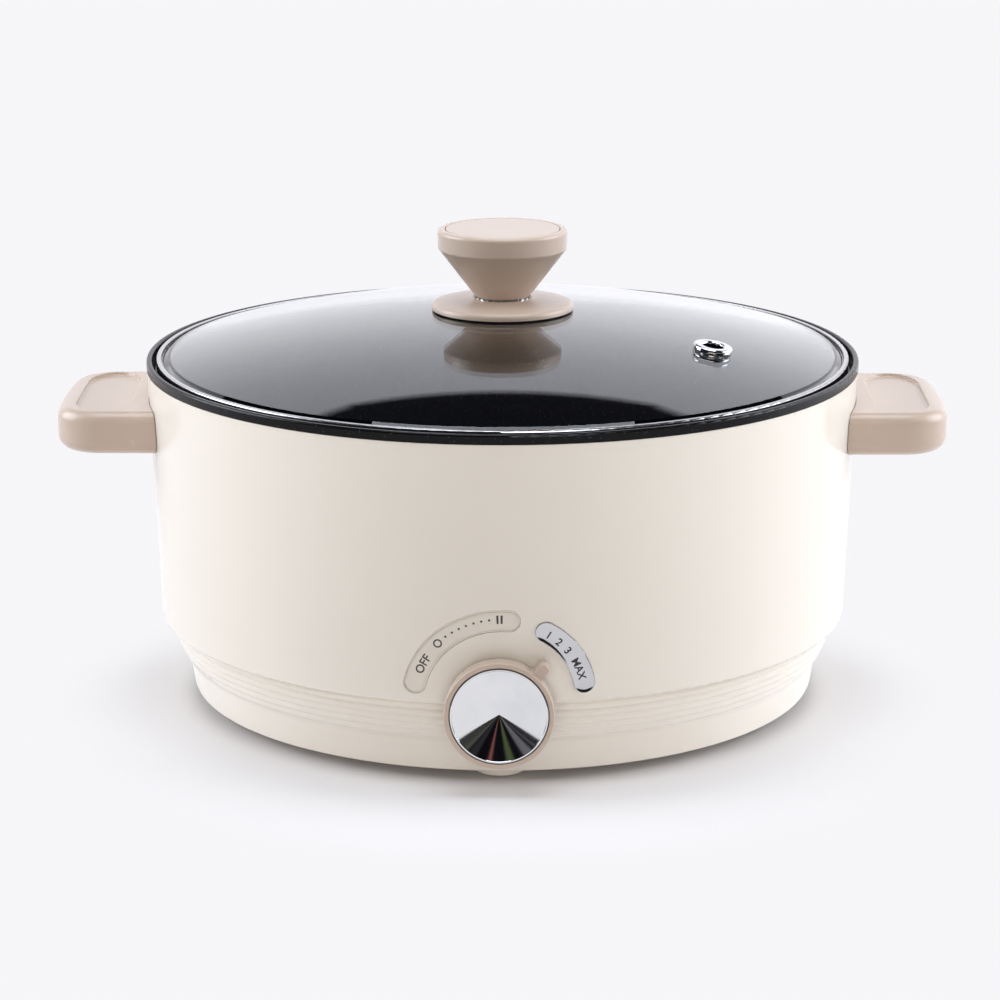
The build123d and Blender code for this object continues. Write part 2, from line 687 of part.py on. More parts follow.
def make_inner_pot():
    """Pressed bowl: floor, wall, ledge for the lid, and the bead that covers the casing's edge."""
    lip_r = CASING_TOP_R - LIP_WALL - SNUG / 2
    bead_in_r = POT_RIM_R - POT_BEAD_WIDTH
    under_z = CASING_TOP_Z + SNUG / 2
    return turned([
        (0, POT_UNDER_Z),
        (POT_LOW_R + POT_WALL, POT_UNDER_Z, POT_CORNER + POT_WALL),
        (POT_MOUTH_R + POT_WALL, FLANGE_Z, 1.5),
        (lip_r, FLANGE_Z, 0.6),
        (lip_r, under_z),
        (POT_RIM_R, under_z, 0.3),
        (POT_RIM_R, POT_BEAD_TOP_Z, 0.9),
        (bead_in_r, POT_BEAD_TOP_Z, 0.9),
        (POT_SHELF_R, POT_LEDGE_Z, 0.4),
        (POT_MOUTH_R, POT_LEDGE_Z, 0.8),
        (POT_LOW_R, POT_FLOOR_Z, POT_CORNER),
        (0, POT_FLOOR_Z),
    ])


def make_pot_seal():
    """Silicone ring between the casing's ledge and the pot's flange."""
    return tube(CASING_TOP_R - LIP_WALL - 2 * SNUG, LEDGE_R + SNUG, LEDGE_Z, FLANGE_Z)


def cover_post(angle):
    """Post of the base cover that reaches up to the shield's ear."""
    x, y = polar(LUG_PITCH_R, angle)
    return rod(COVER_POST_R, FOOT_HEIGHT, SHIELD_Z, x, y)


def head_seat_z():
    """Height of the shoulder that a long screw's head pulls on, inside the cover's post."""
    return FOOT_HEIGHT + COVER_THICK + SCREW_HEAD_TALL


def make_base_cover():
    """Bottom cover: plate, spigot inside the cup, vents, foot bosses and screw posts."""
    spigot_r = CUP_BASE_R - CASING_WALL - 2 * SNUG
    cover = turned([
        (0, FOOT_HEIGHT),
        (CUP_BASE_R - 2 * SNUG, FOOT_HEIGHT, 0.9),
        (CUP_BASE_R - SNUG, CASING_FOOT_Z),
        (spigot_r, CASING_FOOT_Z),
        (spigot_r, CASING_FOOT_Z + SPIGOT_TALL),
        (spigot_r - SPIGOT_WALL, CASING_FOOT_Z + SPIGOT_TALL),
        (spigot_r - SPIGOT_WALL, COVER_TOP_Z),
        (0, COVER_TOP_Z),
    ])
    for angle in FOOT_ANGLES:
        x, y = polar(FOOT_PITCH_R, angle)
        cover += rod(FOOT_R, PAD_PROUD, FOOT_HEIGHT + COVER_THICK / 2, x, y)
        cover -= rod(PAD_R, PAD_PROUD, PAD_PROUD + PAD_RECESS, x, y)
    for angle in LUG_ANGLES:
        x, y = polar(LUG_PITCH_R, angle)
        cover += cover_post(angle)
        cover -= rod(SCREW_HEAD_R + FREE, FOOT_HEIGHT, head_seat_z(), x, y)
        cover -= rod(SCREW_R + FREE / 2, FOOT_HEIGHT, SHIELD_Z, x, y)
    for x in (BLOCK_X - POLE_PITCH / 2, BLOCK_X + POLE_PITCH / 2):
        cover += rod(PEG_R, COVER_TOP_Z, COVER_TOP_Z + PEG_R * 2, x, BLOCK_Y)
    slot = SlotOverall(VENT_LENGTH, VENT_WIDTH)
    for mean_r, count in VENT_RINGS:
        for i in range(count):
            vent = Rot(0, 0, 360 / count * i) * Pos(mean_r, 0, 0) * slot
            cover -= slab(vent, FOOT_HEIGHT, COVER_TOP_Z)
    return cover


def make_foot_pads():
    """Soft pads in the foot bosses."""
    return [rod(PAD_R, 0, PAD_PROUD + PAD_RECESS, *polar(FOOT_PITCH_R, angle)) for angle in FOOT_ANGLES]


def make_base_screws():
    """Long screws from the cover's posts into the casing's lugs."""
    screws = []
    for angle in LUG_ANGLES:
        x, y = polar(LUG_PITCH_R, angle)
        seat = head_seat_z()
        head = rod(SCREW_HEAD_R, seat - SCREW_HEAD_TALL, seat, x, y)
        shank = rod(SCREW_R, seat, SHIELD_TOP_Z + SCREW_BITE, x, y)
        recess = Pos(x, y, 0) * hexagon(SCREW_R * 1.6, seat - SCREW_HEAD_TALL, seat - SCREW_HEAD_TALL / 2)
        screws.append(head + shank - recess)
    return screws


# ---------------------------------------------------------------------------
# Side handles
# ---------------------------------------------------------------------------

def handle_plan(inset):
    """Plan of the handle on +X: bowed tip and two round corners, set in all round."""
    root = CASING_TOP_R - 4 * HANDLE_WALL
    bulge = HANDLE_BULGE_R - inset
    plan = Pos(root + HANDLE_REACH, 0) * Rectangle(2 * HANDLE_REACH, HANDLE_DEPTH - 2 * inset)
    plan &= Pos(HANDLE_TIP - inset - bulge, 0) * Circle(bulge)
    return fillet(plan.vertices().sort_by(Axis.X)[-2:], HANDLE_CORNER - inset)


def handle_form():
    """Outer form of a handle, before its dish and its hollow."""
    root = CASING_TOP_R - 4 * HANDLE_WALL
    start = HANDLE_TIP - NOSE_LENGTH
    nose_r = (NOSE_LENGTH ** 2 + NOSE_DROP ** 2) / (2 * NOSE_DROP)
    deep = nose_r + HANDLE_THICK
    nose = Circle(nose_r) + Pos(0, -HANDLE_THICK / 2) * Rectangle(2 * nose_r, HANDLE_THICK)
    side_view = Pos((root + start) / 2, HANDLE_TOP_Z - deep / 2) * Rectangle(start - root, deep)
    side_view += Pos(start, HANDLE_TOP_Z - nose_r) * nose
    bar = extrude(Plane.XZ * side_view, HANDLE_DEPTH / 2 + 1, both=True)
    form = slab(handle_plan(0), HANDLE_LOW_Z, HANDLE_TOP_Z + 1) & bar
    form = fillet(form.faces().sort_by(Axis.Z)[0].edges(), HANDLE_LOW_ROUND)
    crown = [face for face in form.faces() if face.normal_at().Z > 0.7]
    rim = [edge for face in crown for edge in face.edges()]
    rim = [edge for edge in rim if sum(edge.is_same(other) for other in rim) == 1]
    return fillet(rim, HANDLE_TOP_ROUND)


def handle_dish():
    """What the shallow dish takes out of the handle's top."""
    straight = DISH_LENGTH - 2 * DISH_END
    outline = Rectangle(DISH_WIDTH, straight)
    for end in (-1, 1):
        outline += Pos(0, end * straight / 2) * Ellipse(DISH_WIDTH / 2, DISH_END)
    middle = Pos(HANDLE_TIP - NOSE_LENGTH - DISH_EDGE - DISH_WIDTH / 2, 0)
    dish = slab(middle * outline, HANDLE_TOP_Z - DISH_DEPTH, HANDLE_TOP_Z + 1)
    return fillet(dish.faces().sort_by(Axis.Z)[0].edges(), DISH_FLOOR_ROUND)


def dished(form):
    """The handle's form with the dish cut in and its lip rounded."""
    dish = handle_dish()
    form -= dish
    top = form.faces().filter_by(Axis.Z).sort_by(Axis.Z)[-1]
    return fillet(top.inner_wires()[0].edges(), DISH_LIP)


def make_handle(side):
    """Hollow handle that fits the casing's curve, with a shallow dish in its top."""
    root = CASING_TOP_R - 4 * HANDLE_WALL
    hollow_top = HANDLE_TOP_Z - DISH_DEPTH - HANDLE_WALL
    hollow = slab(handle_plan(HANDLE_WALL), HANDLE_LOW_Z + HANDLE_WALL, hollow_top)
    hollow_bosses = []
    for y in (-HANDLE_SCREW_SPACING / 2, HANDLE_SCREW_SPACING / 2):
        low = (root, y - HANDLE_BOSS_R, HANDLE_LOW_Z + HANDLE_WALL)
        high = (HANDLE_TIP - HANDLE_WALL, y + HANDLE_BOSS_R, hollow_top)
        hollow_bosses.append(block(low, high))
        hollow -= block(low, high)
    handle = dished(handle_form()) - hollow - upper_cone(-SNUG)
    for boss in hollow_bosses:
        handle += boss - upper_cone(0)
    bite = HANDLE_SCREW_LENGTH
    for y in (-HANDLE_SCREW_SPACING / 2, HANDLE_SCREW_SPACING / 2):
        start = handle_seat_x()
        handle -= Pos(start + bite / 2, y, HANDLE_MID_Z) * Rot(0, 90, 0) * Cylinder(HANDLE_SCREW_R, bite)
    return Rot(0, 0, 0 if side > 0 else 180) * handle


def make_handle_screws():
    """Screws from the pads inside the casing into the handles' bosses."""
    screws = []
    for side in (-1, 1):
        for y in (-HANDLE_SCREW_SPACING / 2, HANDLE_SCREW_SPACING / 2):
            seat = handle_seat_x()
            head = Pos(seat - SCREW_HEAD_TALL / 2, y, HANDLE_MID_Z) * Rot(0, 90, 0)
            shank = Pos(seat + HANDLE_SCREW_LENGTH / 2, y, HANDLE_MID_Z) * Rot(0, 90, 0)
            screw = head * Cylinder(SCREW_HEAD_R, SCREW_HEAD_TALL)
            screw += shank * Cylinder(HANDLE_SCREW_R, HANDLE_SCREW_LENGTH)
            screws.append(Rot(0, 0, 0 if side > 0 else 180) * screw)
    return screws


# ---------------------------------------------------------------------------
# Heater
# ---------------------------------------------------------------------------

def element_path():
    """Middle line of the heating element: the open ring and its two ends turned down."""
    front = 270
    start = front + ELEMENT_GAP / 2
    span = 360 - ELEMENT_GAP
    ring = CenterArc((0, 0, ELEMENT_Z), ELEMENT_RING_R, start, span)
    ends = []
    for at, sign in ((0, -1), (1, 1)):
        point = ring @ at
        ahead = (ring % at) * sign
        foot = point + ahead * ELEMENT_BEND_R + Vector(0, 0, -ELEMENT_BEND_R)
        bend = TangentArc(point, foot, tangent=ahead)
        ends.append((bend, foot))
    return ring, ends


def make_heating_element():
    """Sheathed tube: ring, bends and cold tails in one."""
    ring, ends = element_path()
    section = Circle(ELEMENT_R)
    tube_solid = sweep(Plane(origin=ring @ 0, z_dir=ring % 0) * section, path=ring)
    for bend, foot in ends:
        tube_solid += sweep(Plane(origin=bend @ 0, z_dir=bend % 0) * section, path=bend)
        tube_solid += rod(ELEMENT_R, ELEMENT_TAIL_Z, foot.Z, foot.X, foot.Y)
    return tube_solid


def tail_places():
    """X and Y of the element's two tails."""
    return [(foot.X, foot.Y) for _, foot in element_path()[1]]


def make_heater_plate():
    """Aluminium disc under the pot, with the groove that holds the element."""
    plate = turned([
        (0, HEATER_UNDER_Z),
        (HEATER_R, HEATER_UNDER_Z, 1.5),
        (HEATER_R, POT_UNDER_Z),
        (0, POT_UNDER_Z),
    ])
    return plate - make_heating_element()


def make_element_bushes():
    """Ceramic beads in the ends of the element."""
    low_z = ELEMENT_TAIL_Z - BUSH_BEAD_LENGTH
    beads = []
    for x, y in tail_places():
        bead = rod(BUSH_BEAD_R, low_z, ELEMENT_TAIL_Z, x, y)
        beads.append(bead - rod(ELEMENT_PIN_R, low_z, ELEMENT_TAIL_Z, x, y))
    return beads


def make_element_pins():
    """Terminal pins through the beads."""
    low_z = ELEMENT_TAIL_Z - ELEMENT_PIN_LENGTH
    return [rod(ELEMENT_PIN_R, low_z, ELEMENT_TAIL_Z, x, y) for x, y in tail_places()]


def make_heat_shield():
    """Steel pan that turns the heat back, with ears for the long screws."""
    rim_z = SHIELD_Z + SHIELD_RIM
    shield = turned([
        (0, SHIELD_Z),
        (SHIELD_R, SHIELD_Z),
        (SHIELD_R, rim_z),
        (SHIELD_R - SHIELD_THICK, rim_z),
        (SHIELD_R - SHIELD_THICK, SHIELD_TOP_Z),
        (0, SHIELD_TOP_Z),
    ])
    shield -= rod(CUTOUT_R + SWEEP, SHIELD_Z, SHIELD_TOP_Z)
    for x, y in tail_places():
        shield -= rod(ELEMENT_R + SWEEP, SHIELD_Z, SHIELD_TOP_Z, x, y)
    for angle in STUD_ANGLES:
        shield -= rod(STUD_R + FREE / 2, SHIELD_Z, SHIELD_TOP_Z, *polar(STUD_PITCH_R, angle))
    for angle in LUG_ANGLES:
        reach = LUG_PITCH_R + COVER_POST_R
        ear = block((SHIELD_R - SHIELD_RIM, -EAR_WIDTH / 2, SHIELD_Z), (reach, EAR_WIDTH / 2, SHIELD_TOP_Z))
        hole = rod(SCREW_R + FREE / 2, SHIELD_Z, SHIELD_TOP_Z, LUG_PITCH_R)
        shield += Rot(0, 0, angle) * ear
        shield -= Rot(0, 0, angle) * hole
    return shield


def make_shield_studs():
    """Studs that hang from the heater plate through the shield."""
    return [rod(STUD_R, STUD_END_Z, HEATER_UNDER_Z, *polar(STUD_PITCH_R, angle)) for angle in STUD_ANGLES]


def make_shield_nuts():
    """Nuts that pull the shield up on the studs."""
    nuts = []
    for angle in STUD_ANGLES:
        nut = hexagon(NUT_AF, SHIELD_Z - NUT_THICK, SHIELD_Z) - rod(STUD_R, SHIELD_Z - NUT_THICK, SHIELD_Z)
        x, y = polar(STUD_PITCH_R, angle)
        nuts.append(Pos(x, y, 0) * nut)
    return nuts


def cutout_low_z():
    """Underside of the disc thermostat."""
    return HEATER_UNDER_Z - CUTOUT_TALL


def make_overheat_cutout():
    """Disc thermostat held against the middle of the heater plate."""
    low_z = cutout_low_z()
    cap_z = HEATER_UNDER_Z - CUTOUT_TALL / 3
    return rod(CUTOUT_R * 0.9, low_z, cap_z) + rod(CUTOUT_R, cap_z, HEATER_UNDER_Z)


def make_cutout_blades():
    """Two blades under the disc thermostat."""
    low_z = cutout_low_z()
    blades = []
    for side in (-1, 1):
        x = side * CUTOUT_SPACING / 2
        blades.append(block((x - BLADE_THICK / 2, -BLADE_WIDTH / 2, low_z - BLADE_LENGTH),
                            (x + BLADE_THICK / 2, BLADE_WIDTH / 2, low_z)))
    return blades


def fuse_axis():
    """Place of the fuse's axis, which lies along X."""
    return Pos(0, FUSE_Y, HEATER_UNDER_Z - FUSE_R - FUSE_CLIP_WALL) * Rot(0, 90, 0)


def make_thermal_fuse():
    """One-shot fuse along the underside of the heater plate."""
    body = Cylinder(FUSE_R, FUSE_LENGTH) + Cylinder(FUSE_R / 4, FUSE_LENGTH * 1.5)
    return fuse_axis() * body


def make_fuse_clip():
    """Sheet clip that holds the fuse to the heater plate."""
    half = FUSE_CLIP_LENGTH / 2
    outer = FUSE_R + FUSE_CLIP_WALL
    axis_z = HEATER_UNDER_Z - outer
    clip = fuse_axis() * Cylinder(outer, FUSE_CLIP_LENGTH)
    clip += block((-half, FUSE_Y - outer, axis_z), (half, FUSE_Y + outer, HEATER_UNDER_Z))
    foot_z = HEATER_UNDER_Z - FUSE_CLIP_WALL
    clip += block((-half, FUSE_Y - 2.5 * outer, foot_z), (half, FUSE_Y + 2.5 * outer, HEATER_UNDER_Z))
    return clip - fuse_axis() * Cylinder(FUSE_R, FUSE_CLIP_LENGTH)


# ---------------------------------------------------------------------------
# Knob and regulator
# ---------------------------------------------------------------------------

def knob_rod(radius, back, front, x=0.0, y=0.0):
    """Cylinder along the knob's axis between two distances from the pot's axis."""
    return KNOB_FRAME * Pos(x, y, (back + front) / 2) * Cylinder(radius, front - back)


def knob_turned(corners):
    """Solid of revolution about the knob's axis from (radius, distance from the pot's axis)."""
    return KNOB_FRAME * turned(corners)


def shaft_section(clearance=0.0):
    """The shaft's round section with its flat."""
    radius = SHAFT_R + clearance
    cut = Pos(0, radius - SHAFT_FLAT + radius) * Rectangle(4 * radius, 2 * radius)
    return Circle(radius) - cut


def shaft_tip():
    """Front end of the shaft, behind the dish."""
    return KNOB_FACE - DISH_RECESS - KNOB_SKIN / 2


def pointer_tab():
    """Tab beside the knob's ring, pointing along +X from the ring's middle."""
    outline = Circle(KNOB_R) + Pos(POINTER_REACH / 2, 0) * Rectangle(POINTER_REACH, POINTER_WIDTH)
    outline = fillet(outline.vertices().sort_by(Axis.X)[-2:], POINTER_TIP_ROUND)
    corners = [v for v in outline.vertices() if abs(v.Y) < POINTER_WIDTH and v.X > 0]
    roots = [v for v in corners if math.hypot(v.X, v.Y) < KNOB_R + FREE / 2]
    outline = fillet(roots, POINTER_ROOT_ROUND)
    tab = extrude(outline, amount=KNOB_DEEP - POINTER_INSET)
    tab = fillet(tab.faces().sort_by(Axis.Z)[-1].edges(), POINTER_EDGE)
    ring_middle = KNOB_R - KNOB_RIM / 2
    return tab - Cylinder(ring_middle, 4 * KNOB_DEEP)


def make_control_knob():
    """Beige knob: ring, floor behind the dish, hub on the shaft, and the pointer."""
    floor = KNOB_FACE - DISH_RECESS
    knob = knob_turned([
        (0, floor - KNOB_SKIN),
        (KNOB_R - KNOB_SKIN, floor - KNOB_SKIN),
        (KNOB_R - KNOB_SKIN, KNOB_BACK),
        (KNOB_R, KNOB_BACK, 0.4),
        (KNOB_R, KNOB_FACE, 0.7),
        (KNOB_R - KNOB_RIM, KNOB_FACE, 0.4),
        (KNOB_R - KNOB_RIM, floor),
        (0, floor),
    ])
    knob += knob_rod(HUB_R, HUB_BACK, floor - KNOB_SKIN)
    knob += KNOB_FRAME * Pos(0, 0, KNOB_BACK) * Rot(0, 0, POINTER_ANGLE) * pointer_tab()
    bore = extrude(shaft_section(), amount=shaft_tip() - HUB_BACK)
    return knob - KNOB_FRAME * Pos(0, 0, HUB_BACK) * bore


def make_knob_dish():
    """Chrome dish: a shallow hollow cone in a polished rim."""
    floor = KNOB_FACE - DISH_RECESS
    rim_r = KNOB_R - KNOB_RIM - KNOB_DISH_GAP
    lip = KNOB_FACE - SNUG
    return knob_turned([
        (0, floor),
        (rim_r, floor),
        (rim_r, lip, 0.3),
        (rim_r - KNOB_DISH_THICK, lip, 0.2),
        (0, lip - DISH_CONE),
    ])


def make_regulator_shaft():
    """Steel shaft with a flat, from the knob's hub into the regulator."""
    back = REG_BACK + FREE
    return KNOB_FRAME * Pos(0, 0, back) * extrude(shaft_section(), amount=shaft_tip() - back)


def cam_back():
    """Rear face of the cam, in the middle of the regulator's housing."""
    return (BRACKET_BACK + REG_BACK) / 2 - CAM_THICK / 2


def make_regulator_cam():
    """Eccentric disc on the shaft that works the regulator's contact."""
    disc = Pos(CAM_ECCENTRIC, 0) * Circle(CAM_R) - shaft_section()
    return KNOB_FRAME * Pos(0, 0, cam_back()) * extrude(disc, amount=CAM_THICK)


def make_knob_clip():
    """Spring ring round the knob's hub."""
    ring = Circle(HUB_R + CLIP_SHEET) - Circle(HUB_R)
    gap = Pos(HUB_R, 0) * Rectangle(HUB_R, HUB_R / 2)
    return KNOB_FRAME * Pos(0, 0, HUB_BACK + CLIP_SHEET) * extrude(ring - gap, amount=CLIP_WIDTH)


def make_regulator_body():
    """Moulded housing, open to the rear, with a hole for the bush at the front."""
    outer = RectangleRounded(REG_WIDTH, REG_TALL, 1.5)
    inner = RectangleRounded(REG_WIDTH - 2 * REG_WALL, REG_TALL - 2 * REG_WALL, 1.0)
    body = KNOB_FRAME * Pos(0, 0, REG_BACK) * extrude(outer, amount=REG_DEEP)
    body -= KNOB_FRAME * Pos(0, 0, REG_BACK) * extrude(inner, amount=REG_DEEP - REG_WALL)
    return body - knob_rod(BUSH_R, REG_BACK, BRACKET_BACK)


def make_regulator_cover():
    """Rear plate of the housing."""
    outer = RectangleRounded(REG_WIDTH, REG_TALL, 1.5)
    return KNOB_FRAME * Pos(0, 0, REG_BACK - REG_COVER) * extrude(outer, amount=REG_COVER)


def make_regulator_bracket():
    """Steel bracket between the housing and the casing's posts."""
    plate = RectangleRounded(POST_SPACING + 2 * BRACKET_MARGIN, BRACKET_TALL, 2.0) - Circle(BUSH_R)
    for side in (-1, 1):
        plate -= Pos(side * POST_SPACING / 2, 0) * Circle(SCREW_R + FREE / 2)
    return KNOB_FRAME * Pos(0, 0, BRACKET_BACK) * extrude(plate, amount=BRACKET_THICK)


def make_bracket_screws():
    """Screws through the bracket into the posts."""
    screws = []
    for side in (-1, 1):
        x = side * POST_SPACING / 2
        head = knob_rod(BRACKET_SCREW_HEAD_R, BRACKET_BACK - SCREW_HEAD_TALL, BRACKET_BACK, x)
        shank = knob_rod(SCREW_R, BRACKET_BACK, BRACKET_Y + bracket_screw_bite(), x)
        screws.append(head + shank)
    return screws


def make_regulator_bush():
    """Brass bush fixed in the housing's front wall, in which the shaft turns."""
    back = BRACKET_BACK - REG_WALL
    bush = knob_rod(BUSH_R, back, BRACKET_Y + BUSH_LENGTH)
    return bush - knob_rod(SHAFT_R + SHAFT_RUNNING, back, BRACKET_Y + BUSH_LENGTH)


def make_bush_nut():
    """Nut on the bush, in front of the bracket."""
    nut = RegularPolygon(BUSH_NUT_AF / 2, 6, major_radius=False) - Circle(BUSH_R)
    return KNOB_FRAME * Pos(0, 0, BRACKET_Y) * extrude(nut, amount=BUSH_NUT_THICK)


def contact_places():
    """X and Y of the regulator's two blades."""
    return [(side * REG_WIDTH / 4, -(REG_BACK + REG_DEEP / 3)) for side in (-1, 1)]


def regulator_low_z():
    """Underside of the regulator's housing."""
    return KNOB_Z - REG_TALL / 2


def make_regulator_contacts():
    """Blades under the housing for the leads."""
    low_z = regulator_low_z()
    blades = []
    for x, y in contact_places():
        blades.append(block((x - BLADE_WIDTH / 2, y - BLADE_THICK / 2, low_z - BLADE_LENGTH),
                            (x + BLADE_WIDTH / 2, y + BLADE_THICK / 2, low_z)))
    return blades


# ---------------------------------------------------------------------------
# Power inlet, terminal block and leads
# ---------------------------------------------------------------------------

def pin_places():
    """X and Z of the inlet's pins: neutral, earth and live."""
    return [(-PIN_SPACING, INLET_Z + PIN_RISE), (0, INLET_Z - PIN_RISE), (PIN_SPACING, INLET_Z + PIN_RISE)]


def make_power_inlet():
    """Appliance inlet: flange, body and the six-sided socket."""
    flange = RectangleRounded(INLET_FLANGE_X, INLET_FLANGE_Z, INLET_ROUND)
    body = RectangleRounded(INLET_BODY_X, INLET_BODY_Z, INLET_ROUND - SNUG)
    socket = Rectangle(SOCKET_X, SOCKET_Z)
    socket = chamfer(socket.vertices().sort_by(Axis.Y)[-2:], SOCKET_CHAMFER)
    inlet = INLET_FRAME * Pos(0, 0, BOSS_FACE) * extrude(flange, amount=INLET_FLANGE_THICK)
    inlet += INLET_FRAME * Pos(0, 0, INLET_BACK) * extrude(body, amount=INLET_BODY_DEEP)
    inlet -= INLET_FRAME * Pos(0, 0, SOCKET_FLOOR) * extrude(socket, amount=SOCKET_DEEP)
    for side in (-1, 1):
        place = INLET_FRAME * Pos(side * INLET_SCREW_SPACING / 2, 0, BOSS_FACE + INLET_FLANGE_THICK / 2)
        inlet -= place * Cylinder(INLET_SCREW_R + FREE / 2, INLET_FLANGE_THICK)
        sink = INLET_FLANGE_THICK / 2
        inlet -= place * Pos(0, 0, sink / 2) * Cylinder(INLET_SCREW_HEAD_R, sink)
    for pin in make_inlet_pins():
        inlet -= pin
    return inlet


def make_inlet_pins():
    """Three flat pins with tails behind the inlet."""
    pins = []
    for x, z in pin_places():
        pins.append(block((x - PIN_THICK / 2, INLET_BACK - PIN_TAIL, z - PIN_WIDTH / 2),
                          (x + PIN_THICK / 2, SOCKET_FLOOR + PIN_OUT, z + PIN_WIDTH / 2)))
    return pins


def make_inlet_screws():
    """Screws through the inlet's flange into the casing's boss."""
    screws = []
    for side in (-1, 1):
        place = INLET_FRAME * Pos(side * INLET_SCREW_SPACING / 2, 0, INLET_FACE)
        head_tall = INLET_FLANGE_THICK / 2
        head = place * Pos(0, 0, -head_tall / 2) * Cylinder(INLET_SCREW_HEAD_R, head_tall)
        shank = place * Pos(0, 0, -INLET_SCREW_LENGTH / 2) * Cylinder(INLET_SCREW_R, INLET_SCREW_LENGTH)
        screws.append(head + shank)
    return screws


def make_terminal_block():
    """Three-pole block on the base cover, open along Y for the leads."""
    top_z = COVER_TOP_Z + BLOCK_TALL
    base = block((BLOCK_X - BLOCK_LENGTH / 2, BLOCK_Y - BLOCK_DEEP / 2, COVER_TOP_Z),
                 (BLOCK_X + BLOCK_LENGTH / 2, BLOCK_Y + BLOCK_DEEP / 2, top_z))
    for x in pole_places():
        base -= rod(POLE_SCREW_R, lead_z() + LEAD_R, top_z, x, BLOCK_Y)
    for x in (BLOCK_X - POLE_PITCH / 2, BLOCK_X + POLE_PITCH / 2):
        base -= rod(PEG_R, COVER_TOP_Z, COVER_TOP_Z + PEG_R * 2, x, BLOCK_Y)
    return base


def pole_places():
    """X of the block's poles: neutral, earth and live."""
    return [BLOCK_X - POLE_PITCH, BLOCK_X, BLOCK_X + POLE_PITCH]


def lead_z():
    """Height at which the leads enter the block."""
    return COVER_TOP_Z + BLOCK_TALL / 2


def make_terminal_screws():
    """Clamp screws on the block's poles."""
    top_z = COVER_TOP_Z + BLOCK_TALL + POLE_SCREW_TALL / 2
    return [rod(POLE_SCREW_R, lead_z() + LEAD_R, top_z, x, BLOCK_Y) for x in pole_places()]


def lead(points):
    """Round wire along straight runs joined by tangent arcs."""
    points = [Vector(*p) for p in points]
    radii = []
    for a, b, c in zip(points, points[1:], points[2:]):
        turn = math.radians((b - a).get_angle(c - b))
        run = min((b - a).length, (c - b).length)
        radii.append(0.45 * run / math.tan(turn / 2))
    path = FilletPolyline(*points, radius=radii)
    return sweep(Plane(origin=path @ 0, z_dir=path % 0) * Circle(LEAD_R), path=path)


def route(start, end, stops):
    """Points of a lead: each stop is (share of the way, shift to the right of it, height)."""
    (x0, y0, _), (x1, y1, _) = start, end
    length = math.hypot(x1 - x0, y1 - y0)
    right = ((y1 - y0) / length, (x0 - x1) / length)
    points = [start]
    for share, shift, z in stops:
        x = between(x0, x1, share) + right[0] * shift
        y = between(y0, y1, share) + right[1] * shift
        points.append((x, y, z))
    return points + [end]


def below(point, drop):
    """The point a drop below another."""
    return point[0], point[1], point[2] - drop


def ahead(point, run):
    """The point a run nearer to the front than another."""
    return point[0], point[1] - run, point[2]


def supply_lead(index):
    """Lead from one pin of the inlet down to one pole of the block."""
    pin_x, pin_z = pin_places()[index]
    tail = (pin_x, INLET_BACK - PIN_TAIL, pin_z)
    pole = (pole_places()[index], BLOCK_Y + BLOCK_DEEP / 2, lead_z())
    start = ahead(tail, LEAD_STUB)
    stops = [(0.16, 1.5, between(pin_z, lead_z(), 0.7)), (0.55, 0, lead_z())]
    return lead([tail] + route(start, ahead(pole, -LEAD_STUB), stops) + [pole])


def floor_z():
    """Height of the leads that run along the base cover."""
    return COVER_TOP_Z + 3 * LEAD_R


def blade_ends():
    """Lower ends of the regulator's blades, left then right."""
    low_z = regulator_low_z() - BLADE_LENGTH
    return [(x, y, low_z) for x, y in contact_places()]


def pin_ends():
    """Lower ends of the element's pins, left then right."""
    low_z = ELEMENT_TAIL_Z - ELEMENT_PIN_LENGTH
    return [(x, y, low_z) for x, y in sorted(tail_places())]


def pole_fronts():
    """Front ends of the block's poles, left to right."""
    return [(x, BLOCK_Y - BLOCK_DEEP / 2, lead_z()) for x in pole_places()]


def make_live_leads():
    """Inlet to block, block to cut-out, cut-out to regulator, regulator to element."""
    low_z = floor_z()
    cut_z = cutout_low_z() - BLADE_LENGTH
    cut_left = (-CUTOUT_SPACING / 2, 0, cut_z)
    cut_right = (CUTOUT_SPACING / 2, 0, cut_z)
    blade_left, blade_right = blade_ends()
    pin = pin_ends()[1]
    pole = pole_fronts()[2]
    cut_drop = cut_z - low_z - LEAD_R
    blade_drop = blade_left[2] - low_z - LEAD_R
    pin_drop = pin[2] - low_z
    to_cutout = [pole] + route(ahead(pole, LEAD_STUB), below(cut_left, cut_drop),
                               [(0.42, -2.0, low_z + LEAD_R), (0.8, -4.0, low_z)]) + [cut_left]
    to_regulator = [cut_right] + route(below(cut_right, cut_drop), below(blade_left, blade_drop),
                                       [(0.1, -1.0, low_z), (0.45, -4.5, low_z), (0.92, -2.0, low_z)])
    to_element = [blade_right] + route(below(blade_right, blade_drop), below(pin, pin_drop),
                                       [(0.25, 4.0, low_z), (0.6, 5.0, low_z), (0.86, 2.0, low_z - LEAD_R)])
    return [supply_lead(2), lead(to_cutout), lead(to_regulator + [blade_left]), lead(to_element + [pin])]


def make_neutral_leads():
    """Inlet to block and block to element."""
    low_z = floor_z()
    pin = pin_ends()[0]
    pole = pole_fronts()[0]
    to_element = [pole] + route(ahead(pole, LEAD_STUB), below(pin, pin[2] - low_z),
                                [(0.2, 13.0, low_z + LEAD_R), (0.5, 15.0, low_z),
                                 (0.85, 8.0, low_z), (0.96, 1.0, low_z - LEAD_R)])
    return [supply_lead(0), lead(to_element + [pin])]


